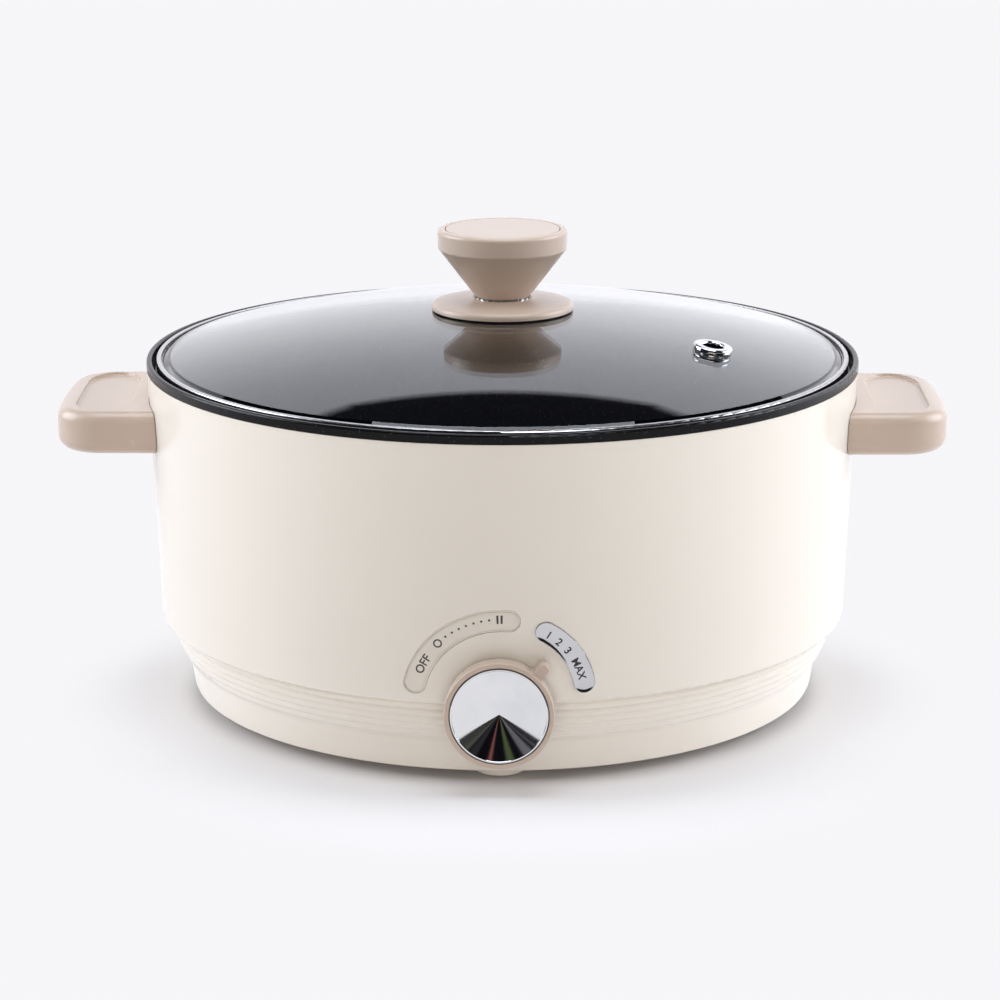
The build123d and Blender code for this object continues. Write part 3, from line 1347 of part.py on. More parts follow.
def make_earth_leads():
    """Inlet to block and block to a stud's end."""
    pole = pole_fronts()[1]
    stud = (*polar(STUD_PITCH_R, STUD_ANGLES[1]), STUD_END_Z)
    drop = STUD_END_Z - lead_z() + LEAD_R
    stops = [(0.5, 2.0, lead_z() - LEAD_R)]
    to_stud = [pole] + route(ahead(pole, LEAD_STUB), below(stud, drop), stops) + [stud]
    return [supply_lead(1), lead(to_stud)]


# ---------------------------------------------------------------------------
# Lid
# ---------------------------------------------------------------------------

def vent_frame():
    """Frame on the dome at the steam vent, with z along the dome's outward normal."""
    x, y = polar(VENT_PITCH_R, VENT_ANGLE)
    point = Vector(x, y, dome_z(VENT_PITCH_R))
    return Plane(origin=point, z_dir=point - Vector(0, 0, DOME_CENTRE_Z))


def make_lid_glass():
    """Domed glass with a flat rim and holes for the knob's screw and the vent."""
    foot = Vector(DOME_FOOT_R, 0, DOME_FOOT_Z)
    under_r = DOME_FOOT_R - GLASS_RIM / 2
    under = Vector(under_r, 0, dome_z(under_r, GLASS_THICK))
    rim = [
        foot,
        Vector(RIM_STEP_R, 0, GLASS_RIM_TOP_Z),
        Vector(GLASS_R, 0, GLASS_RIM_TOP_Z),
        Vector(GLASS_R, 0, GLASS_RIM_Z),
        Vector(DOME_FOOT_R, 0, GLASS_RIM_Z),
        under,
    ]
    apex = Vector(0, 0, LID_APEX_Z)
    low_apex = Vector(0, 0, LID_APEX_Z - GLASS_THICK)
    half_r = DOME_FOOT_R / 2
    edges = [ThreePointArc(apex, Vector(half_r, 0, dome_z(half_r)), foot)]
    edges += [Line(a, b) for a, b in zip(rim, rim[1:])]
    edges.append(ThreePointArc(under, Vector(half_r, 0, dome_z(half_r, GLASS_THICK)), low_apex))
    edges.append(Line(low_apex, apex))
    glass = revolve(make_face(edges), Axis.Z)
    glass -= rod(KNOB_HOLE_R, DOME_FOOT_Z, LID_APEX_Z + 1)
    return glass - vent_frame() * Cylinder(VENT_HOLE_R, 4 * GLASS_THICK)


def make_lid_band():
    """Stainless band: channel round the glass's edge and the skirt inside the pot's mouth."""
    inner_r = SKIRT_R - BAND_SHEET
    base_z = BAND_BASE_Z
    return turned([
        (inner_r, base_z - SKIRT_TALL),
        (SKIRT_R, base_z - SKIRT_TALL),
        (SKIRT_R, base_z),
        (BAND_R, base_z, 0.5),
        (BAND_R, BAND_TOP_Z, 0.6),
        (BAND_LIP_R, BAND_TOP_Z, 0.2),
        (BAND_LIP_R, BAND_TOP_Z - BAND_SHEET),
        (BAND_R - BAND_SHEET, BAND_TOP_Z - BAND_SHEET),
        (BAND_R - BAND_SHEET, base_z + BAND_SHEET),
        (inner_r, base_z + BAND_SHEET),
    ])


def make_lid_seal():
    """Cushion between the glass and the band's channel."""
    outer_r = BAND_R - BAND_SHEET
    low_z = BAND_BASE_Z + BAND_SHEET
    return turned([
        (DOME_FOOT_R, low_z),
        (outer_r, low_z),
        (outer_r, BAND_TOP_Z - BAND_SHEET),
        (BAND_LIP_R, BAND_TOP_Z - BAND_SHEET),
        (BAND_LIP_R, GLASS_RIM_TOP_Z),
        (GLASS_R, GLASS_RIM_TOP_Z),
        (GLASS_R, GLASS_RIM_Z),
        (DOME_FOOT_R, GLASS_RIM_Z),
    ])


def make_steam_vent():
    """Chrome eyelet through the glass: round upper ring, sleeve and rolled lower edge."""
    under = -GLASS_THICK - VENT_SEAL_THICK
    ring_low = VENT_SEAL_THICK
    ring_high = EYELET_RISE + VENT_SEAL_THICK
    eyelet = turned([
        (EYELET_BORE_R, under - EYELET_LOWER_THICK),
        (EYELET_LOWER_R, under - EYELET_LOWER_THICK, 0.4),
        (EYELET_LOWER_R, under),
        (EYELET_SLEEVE_R, under),
        (EYELET_SLEEVE_R, ring_low),
        (EYELET_R, ring_low, 0.5),
        (EYELET_R, ring_high, 1.4),
        (EYELET_BORE_R, ring_high, 0.9),
    ])
    return vent_frame() * eyelet


def make_vent_seal():
    """Washers above and below the glass under the eyelet's two edges."""
    under = -GLASS_THICK - VENT_SEAL_THICK
    upper = tube(EYELET_R - 0.6, EYELET_SLEEVE_R, 0, VENT_SEAL_THICK)
    lower = tube(EYELET_LOWER_R - 0.4, EYELET_SLEEVE_R, under, -GLASS_THICK)
    ball = Pos(0, 0, -DOME_R) * Sphere(DOME_R)
    hollow = Pos(0, 0, -DOME_R) * Sphere(DOME_R - GLASS_THICK)
    return [vent_frame() * (upper - ball), vent_frame() * (lower & hollow)]


def dome_cap(inset, radius, low_z):
    """Solid under a sphere parallel to the dome, trimmed to a radius."""
    ball = Pos(0, 0, DOME_CENTRE_Z) * Sphere(DOME_R + inset)
    return ball & rod(radius, low_z, LID_APEX_Z + inset + 1)


def stem_hole(low_z, high_z):
    """Clearance hole for the lid's screw."""
    return rod(LID_SCREW_R + FREE / 2, low_z, high_z)


def make_knob_gasket():
    """Thin silicone disc between the dome and the knob's base."""
    low_z = DOME_FOOT_Z
    gasket = dome_cap(KNOB_GASKET_THICK, KNOB_GASKET_R, low_z) - dome_cap(0, KNOB_GASKET_R + 1, low_z)
    return gasket - stem_hole(low_z, LID_APEX_Z + 1)


def make_knob_base():
    """Lens-shaped disc under the knob, with an upright edge."""
    low_z = DOME_FOOT_Z
    edge_z = dome_z(BASE_DISC_R) + KNOB_GASKET_THICK + BASE_DISC_EDGE
    disc = turned([
        (0, low_z),
        (BASE_DISC_R, low_z),
        (BASE_DISC_R, edge_z, BASE_DISC_ROUND),
        (BASE_DISC_TOP_R, BASE_DISC_TOP_Z, 3.0),
        (0, BASE_DISC_TOP_Z),
    ])
    disc -= dome_cap(KNOB_GASKET_THICK, BASE_DISC_R + 1, low_z - 1)
    return disc - stem_hole(low_z, BASE_DISC_TOP_Z)


def make_toothed_washer():
    """Steel washer with small teeth round its edge, between base and knob."""
    washer = rod(WASHER_R - WASHER_TOOTH, BASE_DISC_TOP_Z, WASHER_TOP_Z)
    for i in range(WASHER_TEETH):
        tooth = block((WASHER_R - 2 * WASHER_TOOTH, -WASHER_TOOTH, BASE_DISC_TOP_Z),
                      (WASHER_R, WASHER_TOOTH, WASHER_TOP_Z))
        washer += Rot(0, 0, 360 / WASHER_TEETH * i) * tooth
    return washer - stem_hole(BASE_DISC_TOP_Z, WASHER_TOP_Z)


def cap_seat_z():
    """Height of the shoulder under the knob's cap."""
    return LID_KNOB_TOP_Z - CAP_THICK


def make_lid_knob():
    """Cone-shaped knob, hollow under its cap, with a boss for the threaded insert."""
    seat_z = cap_seat_z()
    wall = LID_KNOB_WALL
    boss_r = INSERT_R + wall
    boss_z = WASHER_TOP_Z + INSERT_LENGTH + wall
    return turned([
        (INSERT_R, WASHER_TOP_Z),
        (CONE_FOOT_R, WASHER_TOP_Z, 0.4),
        (CONE_HEAD_R, CONE_HEAD_Z, 1.2),
        (LID_KNOB_R, LID_KNOB_TOP_Z, LID_KNOB_ROUND),
        (CAP_R + CAP_GAP, LID_KNOB_TOP_Z, 0.3),
        (CAP_R + CAP_GAP, seat_z),
        (CAP_R - wall, seat_z),
        (CAP_R - wall, CONE_HEAD_Z + wall / 2),
        (boss_r + wall / 2, WASHER_TOP_Z + wall * 2),
        (boss_r, WASHER_TOP_Z + wall * 2),
        (boss_r, boss_z),
        (INSERT_R, boss_z),
    ])


def make_knob_cap():
    """Flush cap in the knob's top."""
    return turned([
        (0, cap_seat_z()),
        (CAP_R, cap_seat_z()),
        (CAP_R, LID_KNOB_TOP_Z, 0.35),
        (0, LID_KNOB_TOP_Z),
    ])


def make_knob_insert():
    """Threaded brass insert in the knob's boss."""
    top_z = WASHER_TOP_Z + INSERT_LENGTH
    return tube(INSERT_R, LID_SCREW_R, WASHER_TOP_Z, top_z)


def make_screw_washer():
    """Soft washer under the screw's head, below the glass."""
    top_z = LID_APEX_Z - GLASS_THICK
    washer = rod(LID_WASHER_R, top_z - LID_WASHER_THICK, top_z)
    washer &= Pos(0, 0, DOME_CENTRE_Z) * Sphere(DOME_R - GLASS_THICK)
    return washer - stem_hole(top_z - LID_WASHER_THICK, top_z)


def make_lid_screw():
    """Screw from below the glass into the knob's insert."""
    seat_z = LID_APEX_Z - GLASS_THICK - LID_WASHER_THICK
    head = turned([
        (0, seat_z - LID_SCREW_HEAD_TALL),
        (LID_SCREW_HEAD_R, seat_z - LID_SCREW_HEAD_TALL, LID_SCREW_HEAD_TALL / 2),
        (LID_SCREW_HEAD_R, seat_z),
        (0, seat_z),
    ])
    low_z = seat_z - LID_SCREW_HEAD_TALL
    slots = block((-LID_SCREW_HEAD_R * 0.6, -0.5, low_z), (LID_SCREW_HEAD_R * 0.6, 0.5, low_z + 1.2))
    shank = rod(LID_SCREW_R, seat_z, WASHER_TOP_Z + LID_SCREW_BITE)
    return head + shank - slots - Rot(0, 0, 90) * slots


# ---------------------------------------------------------------------------
# Write every node
# ---------------------------------------------------------------------------

def main():
    os.makedirs("parts", exist_ok=True)
    write("casing", make_casing())
    write("scale_plate", make_scale_plate())
    write("scale_badge", make_scale_badge())
    write("inner_pot", make_inner_pot())
    write("pot_seal", make_pot_seal())
    write("base_cover", make_base_cover())
    write("foot_pads", *make_foot_pads())
    write("base_screws", *make_base_screws())
    write("handle_right", make_handle(1))
    write("handle_left", make_handle(-1))
    write("handle_screws", *make_handle_screws())
    write("heater_plate", make_heater_plate())
    write("heating_element", make_heating_element())
    write("element_bushes", *make_element_bushes())
    write("element_pins", *make_element_pins())
    write("heat_shield", make_heat_shield())
    write("shield_studs", *make_shield_studs())
    write("shield_nuts", *make_shield_nuts())
    write("overheat_cutout", make_overheat_cutout())
    write("cutout_blades", *make_cutout_blades())
    write("thermal_fuse", make_thermal_fuse())
    write("fuse_clip", make_fuse_clip())
    write("control_knob", make_control_knob())
    write("knob_dish", make_knob_dish())
    write("knob_clip", make_knob_clip())
    write("regulator_shaft", make_regulator_shaft())
    write("regulator_cam", make_regulator_cam())
    write("regulator_body", make_regulator_body())
    write("regulator_cover", make_regulator_cover())
    write("regulator_bracket", make_regulator_bracket())
    write("bracket_screws", *make_bracket_screws())
    write("regulator_bush", make_regulator_bush())
    write("bush_nut", make_bush_nut())
    write("regulator_contacts", *make_regulator_contacts())
    write("power_inlet", make_power_inlet())
    write("inlet_pins", *make_inlet_pins())
    write("inlet_screws", *make_inlet_screws())
    write("terminal_block", make_terminal_block())
    write("terminal_screws", *make_terminal_screws())
    write("live_leads", *make_live_leads())
    write("neutral_leads", *make_neutral_leads())
    write("earth_leads", *make_earth_leads())
    write("lid_glass", make_lid_glass())
    write("lid_band", make_lid_band())
    write("lid_seal", make_lid_seal())
    write("steam_vent", make_steam_vent())
    write("vent_seal", *make_vent_seal())
    write("knob_gasket", make_knob_gasket())
    write("knob_base", make_knob_base())
    write("toothed_washer", make_toothed_washer())
    write("lid_knob", make_lid_knob())
    write("knob_cap", make_knob_cap())
    write("knob_insert", make_knob_insert())
    write("screw_washer", make_screw_washer())
    write("lid_screw", make_lid_screw())


main()
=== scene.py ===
# %% [markdown]
# # Electric hot pot with a lift-off glass lid
#
# The real pot is a cream moulded casing round a black coated bowl, with beige handles and knobs,
# a domed glass lid, and chrome round the control knob. Its solids come packed from CAD and stay
# where they are. This lesson dresses them: a camera, soft light, one finish for each material, and
# the few pieces that need more shape than a plain solid gives.

import json
import math

import bmesh
import bpy
from mathutils import Matrix, Vector


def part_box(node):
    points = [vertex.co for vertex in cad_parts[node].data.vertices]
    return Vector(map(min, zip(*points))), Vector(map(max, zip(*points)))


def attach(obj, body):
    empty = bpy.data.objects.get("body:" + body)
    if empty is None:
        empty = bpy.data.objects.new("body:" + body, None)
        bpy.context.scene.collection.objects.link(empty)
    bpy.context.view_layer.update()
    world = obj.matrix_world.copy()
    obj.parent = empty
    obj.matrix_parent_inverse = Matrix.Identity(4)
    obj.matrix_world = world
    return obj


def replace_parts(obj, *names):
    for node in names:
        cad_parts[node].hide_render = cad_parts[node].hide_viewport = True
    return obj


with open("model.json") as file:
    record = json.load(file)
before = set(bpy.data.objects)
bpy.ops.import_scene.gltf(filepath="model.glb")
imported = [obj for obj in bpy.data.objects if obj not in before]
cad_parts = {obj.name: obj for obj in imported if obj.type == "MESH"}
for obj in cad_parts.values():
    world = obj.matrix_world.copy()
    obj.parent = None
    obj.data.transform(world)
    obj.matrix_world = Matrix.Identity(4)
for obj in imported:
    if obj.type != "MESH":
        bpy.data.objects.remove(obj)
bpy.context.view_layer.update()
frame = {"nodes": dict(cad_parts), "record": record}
nodes = frame["nodes"]

# %% [markdown]
# ## Camera
#
# A product shot of a pot is taken from a little above its rim with a long lens, so that its sides
# stay almost upright. The camera stands a finger's width to the right of the control knob and looks
# back at the pot's axis, half a degree to the left. A small shift then slides the picture until the
# pot is a hair right of the middle. Turning the camera would do that too, but the pot's two sides
# would no longer lean alike.

# %% Camera
LENS_MM = 118.08
SENSOR_MM = 36.0
CAMERA_AT = (0.0119, -1.3613, 0.4387)
CAMERA_PITCH = 14.76     # degrees below the horizontal
CAMERA_YAW = 0.5
CAMERA_SHIFT = -0.0026

camera_data = bpy.data.cameras.new("camera")
camera_data.lens = LENS_MM
camera_data.sensor_width = SENSOR_MM
camera_data.shift_x = CAMERA_SHIFT
camera = bpy.data.objects.new("camera", camera_data)
bpy.context.scene.collection.objects.link(camera)
camera.location = CAMERA_AT
camera.rotation_euler = (math.radians(90 - CAMERA_PITCH), 0, math.radians(CAMERA_YAW))
bpy.context.scene.camera = camera
bpy.context.scene.view_settings.view_transform = "Standard"
print("camera:", round(camera.location.length, 3), "m from the middle of the pot's foot")

# %% [markdown]
# ## Nodes in a few words
#
# Every finish below is a small node tree. A few helpers keep them readable: one adds a node and
# fills or links its inputs, three more stand for the nodes that come up most, and the last two
# start and close a node group. A group is used where several finishes share an effect, so each one
# sets its own values in it.

# %% Node helpers
def add(tree, kind, feeds=None, **settings):
    """One node with its settings; each feed is a socket to link or a value to type in."""
    node = tree.nodes.new(kind)
    for key, value in settings.items():
        setattr(node, key, value)
    for key, source in (feeds or {}).items():
        if isinstance(source, bpy.types.NodeSocket):
            tree.links.new(source, node.inputs[key])
        else:
            node.inputs[key].default_value = source
    return node


def blend_colours(tree, share, first, second):
    """Colour between two colours."""
    feeds = {0: share, 6: first, 7: second}
    return add(tree, "ShaderNodeMix", feeds, data_type="RGBA").outputs[2]


def remap(tree, value, low, high, to_low, to_high, way="LINEAR"):
    """A value spread from one range onto another."""
    feeds = {"Value": value, "From Min": low, "From Max": high, "To Min": to_low, "To Max": to_high}
    return add(tree, "ShaderNodeMapRange", feeds, interpolation_type=way).outputs["Result"]


def sums(tree, operation, first, second):
    """One step of arithmetic."""
    return add(tree, "ShaderNodeMath", {0: first, 1: second}, operation=operation).outputs[0]


def start_group(name, inputs, outputs):
    """An empty node group with its named sockets."""
    group = bpy.data.node_groups.new(name, "ShaderNodeTree")
    for label, kind, value in inputs:
        made = group.interface.new_socket(label, in_out="INPUT", socket_type=f"NodeSocket{kind}")
        made.default_value = value
    for label, kind in outputs:
        group.interface.new_socket(label, in_out="OUTPUT", socket_type=f"NodeSocket{kind}")
    given = group.nodes.new("NodeGroupInput").outputs
    wanted = group.nodes.new("NodeGroupOutput").inputs
    return group, given, wanted


WHITE = (1.0, 1.0, 1.0, 1.0)
SURFACE = (("Color", "Color"), ("Roughness", "Float"), ("Height", "Float"))


def finish_group(group, wanted, colour, roughness, height):
    """Links what a surface group puts out."""
    for label, made in (("Color", colour), ("Roughness", roughness), ("Height", height)):
        group.links.new(made, wanted[label])
    print("group:", group.name, "with", len(group.nodes), "nodes")
    return group


# %% [markdown]
# ## Light and stage
#
# The pot stands on white paper in a dark studio, and the paper sweeps up behind it. Glass and
# chrome show all of that, so the world is drawn by direction: a table below, a bright sweep behind
# that is a little brighter on its right, and the dark studio above and in front. An image of a
# studio would do the same, but a few ramps over the direction are easier to shift until each
# reflection falls where it should. Rays straight from the camera get the white background in
# place of all this, so it adds no light to the pot.

# %% World
BACK_TONE = (0.926, 0.924, 0.951, 1.0)
STUDIO_TONE = (0.02, 0.021, 0.029, 1.0)
TABLE_TONE = (0.86, 0.86, 0.88, 1.0)
SWEEP_LOW_TONE = (1.02, 1.02, 1.08, 1.0)     # the sweep near the table
SWEEP_HIGH_TONE = (0.86, 0.865, 0.94, 1.0)   # and near its top edge
SWEEP_ACROSS = (-0.4, 0.3, 0.92, 1.2)    # from left to right: two directions, then two strengths
SWEEP_SIDE = (-0.2, 0.2)         # how far round to the front the sweep reaches
# The next four are sines of an elevation.
SWEEP_FADE = (0.22, 0.50)        # from the low tone to the high one
SWEEP_TOP = (0.576, 0.588)       # the sweep's top edge
TABLE_EDGE = (-0.190, -0.182)    # the table's front edge
TABLE_NEAR = (-0.86, -0.80)      # the pot itself shades the table straight below
TABLE_SHADE = 0.25               # and leaves this share of its light
TABLE_GLOW = 1.35                # the lit table in front throws light up at the pot

world = bpy.data.worlds.new("studio")
bpy.context.scene.world = world
world.use_nodes = True
tree = world.node_tree
tree.nodes.clear()
toward = add(tree, "ShaderNodeTexCoord").outputs["Generated"]
split = add(tree, "ShaderNodeSeparateXYZ", {0: toward})
height = split.outputs["Z"]
behind = remap(tree, split.outputs["Y"], *SWEEP_SIDE, 0.0, 1.0, "SMOOTHSTEP")
wall = remap(tree, height, *SWEEP_TOP, 1.0, 0.0, "SMOOTHSTEP")
table = remap(tree, height, *TABLE_EDGE, 1.0, 0.0, "SMOOTHSTEP")
shade = remap(tree, height, *TABLE_NEAR, TABLE_SHADE, 1.0, "SMOOTHSTEP")
table = sums(tree, "MULTIPLY", table, shade)
print("world: the sweep ends between sines", SWEEP_TOP)

# %% [markdown]
# Polished chrome draws what stands in front of it. In the hollow of the control knob each radius
# looks one way, so whatever stands round the camera becomes a streak from the middle to the rim. A
# colour ramp over the sideways direction holds those things: dark cloth, a warm post, a green one
# and a grey screen. They are low, and the dark studio goes on above them.

# %% What stands in front
FRONT_SPREAD = 0.24          # tangent of the widest angle that the hollow shows to either side
FRONT_TALL = (0.10, 0.22)    # sine of the elevation up to which those things reach
LEAST_AHEAD = 0.05           # keeps the tangent finite where a direction runs sideways
FRONT_THINGS = (             # where along the spread, and what tone
    (0.000, (0.02, 0.02, 0.024)), (0.052, (0.02, 0.02, 0.024)), (0.060, (0.16, 0.158, 0.17)),
    (0.072, (0.006, 0.006, 0.008)), (0.098, (0.008, 0.008, 0.01)), (0.112, (0.15, 0.148, 0.16)),
    (0.185, (0.13, 0.128, 0.138)), (0.205, (0.006, 0.006, 0.008)), (0.292, (0.004, 0.004, 0.006)),
    (0.308, (0.05, 0.06, 0.028)), (0.350, (0.085, 0.105, 0.048)), (0.388, (0.05, 0.06, 0.028)),
    (0.405, (0.005, 0.005, 0.006)), (0.556, (0.004, 0.004, 0.006)), (0.572, (0.14, 0.05, 0.045)),
    (0.590, (0.24, 0.095, 0.085)), (0.608, (0.10, 0.035, 0.032)), (0.622, (0.004, 0.004, 0.006)),
    (0.735, (0.004, 0.004, 0.006)), (0.765, (0.028, 0.028, 0.032)), (0.812, (0.022, 0.022, 0.026)),
    (0.835, (0.004, 0.004, 0.006)), (0.862, (0.09, 0.092, 0.075)), (0.885, (0.05, 0.052, 0.045)),
    (1.000, (0.02, 0.02, 0.018)),
)
ahead = sums(tree, "MULTIPLY", split.outputs["Y"], -1.0)
sideways = sums(tree, "DIVIDE", split.outputs["X"], sums(tree, "MAXIMUM", ahead, LEAST_AHEAD))
spread = remap(tree, sideways, -FRONT_SPREAD, FRONT_SPREAD, 0.0, 1.0)
things = add(tree, "ShaderNodeValToRGB", {0: spread})
stops = things.color_ramp.elements
while len(stops) < len(FRONT_THINGS):
    stops.new(0.5)
# A stop that moves may change their order, so the tones wait until all of them are in place.
for stop, (place, colour) in zip(stops, FRONT_THINGS):
    stop.position = place
for stop, (place, colour) in zip(stops, FRONT_THINGS):
    stop.color = (*colour, 1.0)
path = add(tree, "ShaderNodeLightPath")
glow = remap(tree, path.outputs["Is Diffuse Ray"], 0.0, 1.0, 1.0, TABLE_GLOW)
lit_table = add(tree, "ShaderNodeVectorMath", {0: TABLE_TONE[:3], "Scale": glow}, operation="SCALE")
over = remap(tree, height, *FRONT_TALL, 0.0, 1.0, "SMOOTHSTEP")
standing = blend_colours(tree, over, things.outputs[0], STUDIO_TONE)
front = blend_colours(tree, table, standing, lit_table.outputs[0])
fade = remap(tree, height, *SWEEP_FADE, 0.0, 1.0, "SMOOTHSTEP")
sweep = blend_colours(tree, fade, SWEEP_LOW_TONE, SWEEP_HIGH_TONE)
across = remap(tree, split.outputs["X"], *SWEEP_ACROSS)
lit_sweep = add(tree, "ShaderNodeVectorMath", {0: sweep, "Scale": across}, operation="SCALE")
back = blend_colours(tree, wall, STUDIO_TONE, lit_sweep.outputs[0])
studio = blend_colours(tree, behind, front, back)
bounces = sums(tree, "ADD", path.outputs["Glossy Depth"], path.outputs["Diffuse Depth"])
straight = sums(tree, "LESS_THAN", bounces, 0.5)
through = sums(tree, "MULTIPLY", path.outputs["Is Transmission Ray"], straight)
seen = sums(tree, "MAXIMUM", path.outputs["Is Camera Ray"], through)
shown = blend_colours(tree, seen, studio, BACK_TONE)
light = add(tree, "ShaderNodeBackground", {"Color": shown, "Strength": 1.0})
add(tree, "ShaderNodeOutputWorld", {"Surface": light.outputs[0]})
print("world:", len(FRONT_THINGS), "stops in front")

# %% [markdown]
# Two wide soft boxes stand beside the pot and a third hangs overhead. The sides of the casing catch
# them, and its middle stays a little darker. A warm fill from the camera's side lifts the front,
# and a small box low on the right lights the underside of the lid's knob. Those two are kept out
# of the reflections, since the chrome already has its own things to show.

# %% Soft boxes
WARM = (1.0, 0.935, 0.86)
COOL = (0.90, 0.955, 1.03)


def soft_box(name, at, aim, width, height, watts, colour=COOL, mirrored=True):
    """Area lamp at a place, aimed at a point."""
    data = bpy.data.lights.new(name, "AREA")
    data.shape = "RECTANGLE"
    data.size = width
    data.size_y = height
    data.energy = watts
    data.color = colour
    lamp = bpy.data.objects.new(name, data)
    lamp.location = at
    lamp.rotation_euler = (Vector(aim) - Vector(at)).to_track_quat("-Z", "Y").to_euler()
    lamp.visible_glossy = mirrored
    bpy.context.scene.collection.objects.link(lamp)


beside = {"aim": (0, 0.15, 0.10), "width": 1.15, "height": 1.2}
soft_box("box_left", (-1.5, 0.15, 0.75), watts=21.8, **beside)
soft_box("box_right", (1.5, 0.15, 0.75), watts=20.5, **beside)
soft_box("box_top", (0, -0.1, 1.7), aim=(0, 0, 0), width=1.2, height=1.2, watts=18.5)
soft_box("fill_front", (0, -2.6, 0.7), aim=(0, 0, 0.1), width=2.2, height=1.2, watts=20,
         colour=WARM, mirrored=False)
soft_box("box_low", (1.3, -0.5, 0.22), aim=(0, 0, 0.17), width=0.5, height=0.4, watts=1.3,
         mirrored=False)

# %% [markdown]
# The floor is one sheet of paper that holds the pot's shadow. A shadow catcher would need a
# compositor, so the paper's material does the same work: near the pot it is plain matte paper, and
# further out it turns into the background's own white, for the camera's rays and for those that
# come through the lid's glass. Right under the pot's edge its colour is darkened a little, a painted
# contact shadow over the real one. Reflections pass through the sheet, so chrome and glass show
# the table that the world draws.

# %% Paper floor
FLOOR_FRONT = -0.36
FLOOR_BACK = 4.0
FLOOR_SIDE = 3.0
PAPER_EDGE = (0.12, 0.20)    # metres over which the paper turns into the background
PAPER_MIDDLE = (0.0, -0.035, 0.0)    # the shadow lies a little in front of the pot
PAPER_COLOR = (0.785, 0.76, 0.75, 1.0)
# The paper's colour is darkened close round the pot's foot: a painted contact shadow.
PAINTED_CONTACT_REACH = (0.122, 0.143)     # metres over which the contact shadow ends
PAINTED_CONTACT_SHADE = 0.74
PAPER_GRAIN = 900.0          # fibres, about a millimetre apart
PAPER_RELIEF = 0.0001        # metres

bm = bmesh.new()
bmesh.ops.create_grid(bm, x_segments=1, y_segments=1, size=1.0)
middle = (FLOOR_BACK + FLOOR_FRONT) / 2
bmesh.ops.scale(bm, vec=(FLOOR_SIDE, (FLOOR_BACK - FLOOR_FRONT) / 2, 1), verts=bm.verts)
bmesh.ops.translate(bm, vec=(0, middle, 0), verts=bm.verts)
floor_mesh = bpy.data.meshes.new("paper_floor")
bm.to_mesh(floor_mesh)
bm.free()
floor = bpy.data.objects.new("paper_floor", floor_mesh)
bpy.context.scene.collection.objects.link(floor)

paper = bpy.data.materials.new("paper")
paper.use_nodes = True
tree = paper.node_tree
place = add(tree, "ShaderNodeTexCoord").outputs["Object"]
reach = add(tree, "ShaderNodeVectorMath", {0: place, 1: PAPER_MIDDLE}, operation="DISTANCE")
far = remap(tree, reach.outputs["Value"], *PAPER_EDGE, 0.0, 1.0, "SMOOTHSTEP")
ring = add(tree, "ShaderNodeVectorMath", {0: place}, operation="LENGTH").outputs["Value"]
# Painted shadow: the paper's colour darkens as it nears the pot's edge.
under = remap(tree, ring, *PAINTED_CONTACT_REACH, 0.0, 1.0, "SMOOTHSTEP")
shaded = (*(part * PAINTED_CONTACT_SHADE for part in PAPER_COLOR[:3]), 1.0)
path = add(tree, "ShaderNodeLightPath")
seen = sums(tree, "MAXIMUM", path.outputs["Is Camera Ray"], path.outputs["Is Transmission Ray"])
share = sums(tree, "MULTIPLY", far, seen)
grain = add(tree, "ShaderNodeTexNoise", {"Vector": place, "Scale": PAPER_GRAIN, "Detail": 2.0})
matte = tree.nodes["Principled BSDF"]
tree.links.new(blend_colours(tree, under, shaded, PAPER_COLOR), matte.inputs["Base Color"])
matte.inputs["Roughness"].default_value = 0.9
matte.inputs["Specular IOR Level"].default_value = 0.2
feeds = {"Height": grain.outputs[0], "Strength": 0.1, "Distance": PAPER_RELIEF}
bump = add(tree, "ShaderNodeBump", feeds)
tree.links.new(bump.outputs[0], matte.inputs["Normal"])
glow = add(tree, "ShaderNodeEmission", {"Color": BACK_TONE, "Strength": 1.0})
mixed = add(tree, "ShaderNodeMixShader", {0: share, 1: matte.outputs[0], 2: glow.outputs[0]})
clear = add(tree, "ShaderNodeBsdfTransparent")
mirrored = path.outputs["Is Glossy Ray"]
shown = add(tree, "ShaderNodeMixShader", {0: mirrored, 1: mixed.outputs[0], 2: clear.outputs[0]})
tree.links.new(shown.outputs[0], tree.nodes["Material Output"].inputs["Surface"])
floor_mesh.materials.append(paper)
print("floor:", FLOOR_SIDE * 2, "m wide")

# %% [markdown]
# ## Surface effects that several finishes share
#
# Moulded plastic is never one flat colour. Its tone drifts a little over a hand's width, its skin
# has a fine grain from the mould, and its gloss varies where it was touched. All patterns read
# object coordinates, which are metres on the real pot, so a scale of 1000 is a millimetre.

# %% Moulded skin
def make_moulded_skin():
    """Group for plastics and rubbers."""
    group, given, wanted = start_group("moulded_skin", (
        ("Color", "Color", WHITE), ("Shade", "Float", 0.03), ("Patch Scale", "Float", 18.0),
        ("Grain Scale", "Float", 1500.0), ("Gloss Floor", "Float", 0.3), ("Gloss Spread", "Float", 0.08),
    ), SURFACE)
    place = add(group, "ShaderNodeTexCoord").outputs["Object"]
    patch = add(group, "ShaderNodeTexNoise",
                {"Vector": place, "Scale": given["Patch Scale"], "Detail": 3.0}).outputs[0]
    grain = add(group, "ShaderNodeTexNoise",
                {"Vector": place, "Scale": given["Grain Scale"], "Detail": 2.0}).outputs[0]
    centred = sums(group, "SUBTRACT", patch, 0.5)
    drift = sums(group, "MULTIPLY_ADD", centred, given["Shade"])
    drift.node.inputs[2].default_value = 1.0
    toned = add(group, "ShaderNodeHueSaturation", {"Color": given["Color"], "Value": drift})
    spread = sums(group, "MULTIPLY", patch, given["Gloss Spread"])
    rough = sums(group, "ADD", given["Gloss Floor"], spread)
    return finish_group(group, wanted, toned.outputs[0], rough, grain)


moulded_skin = make_moulded_skin()

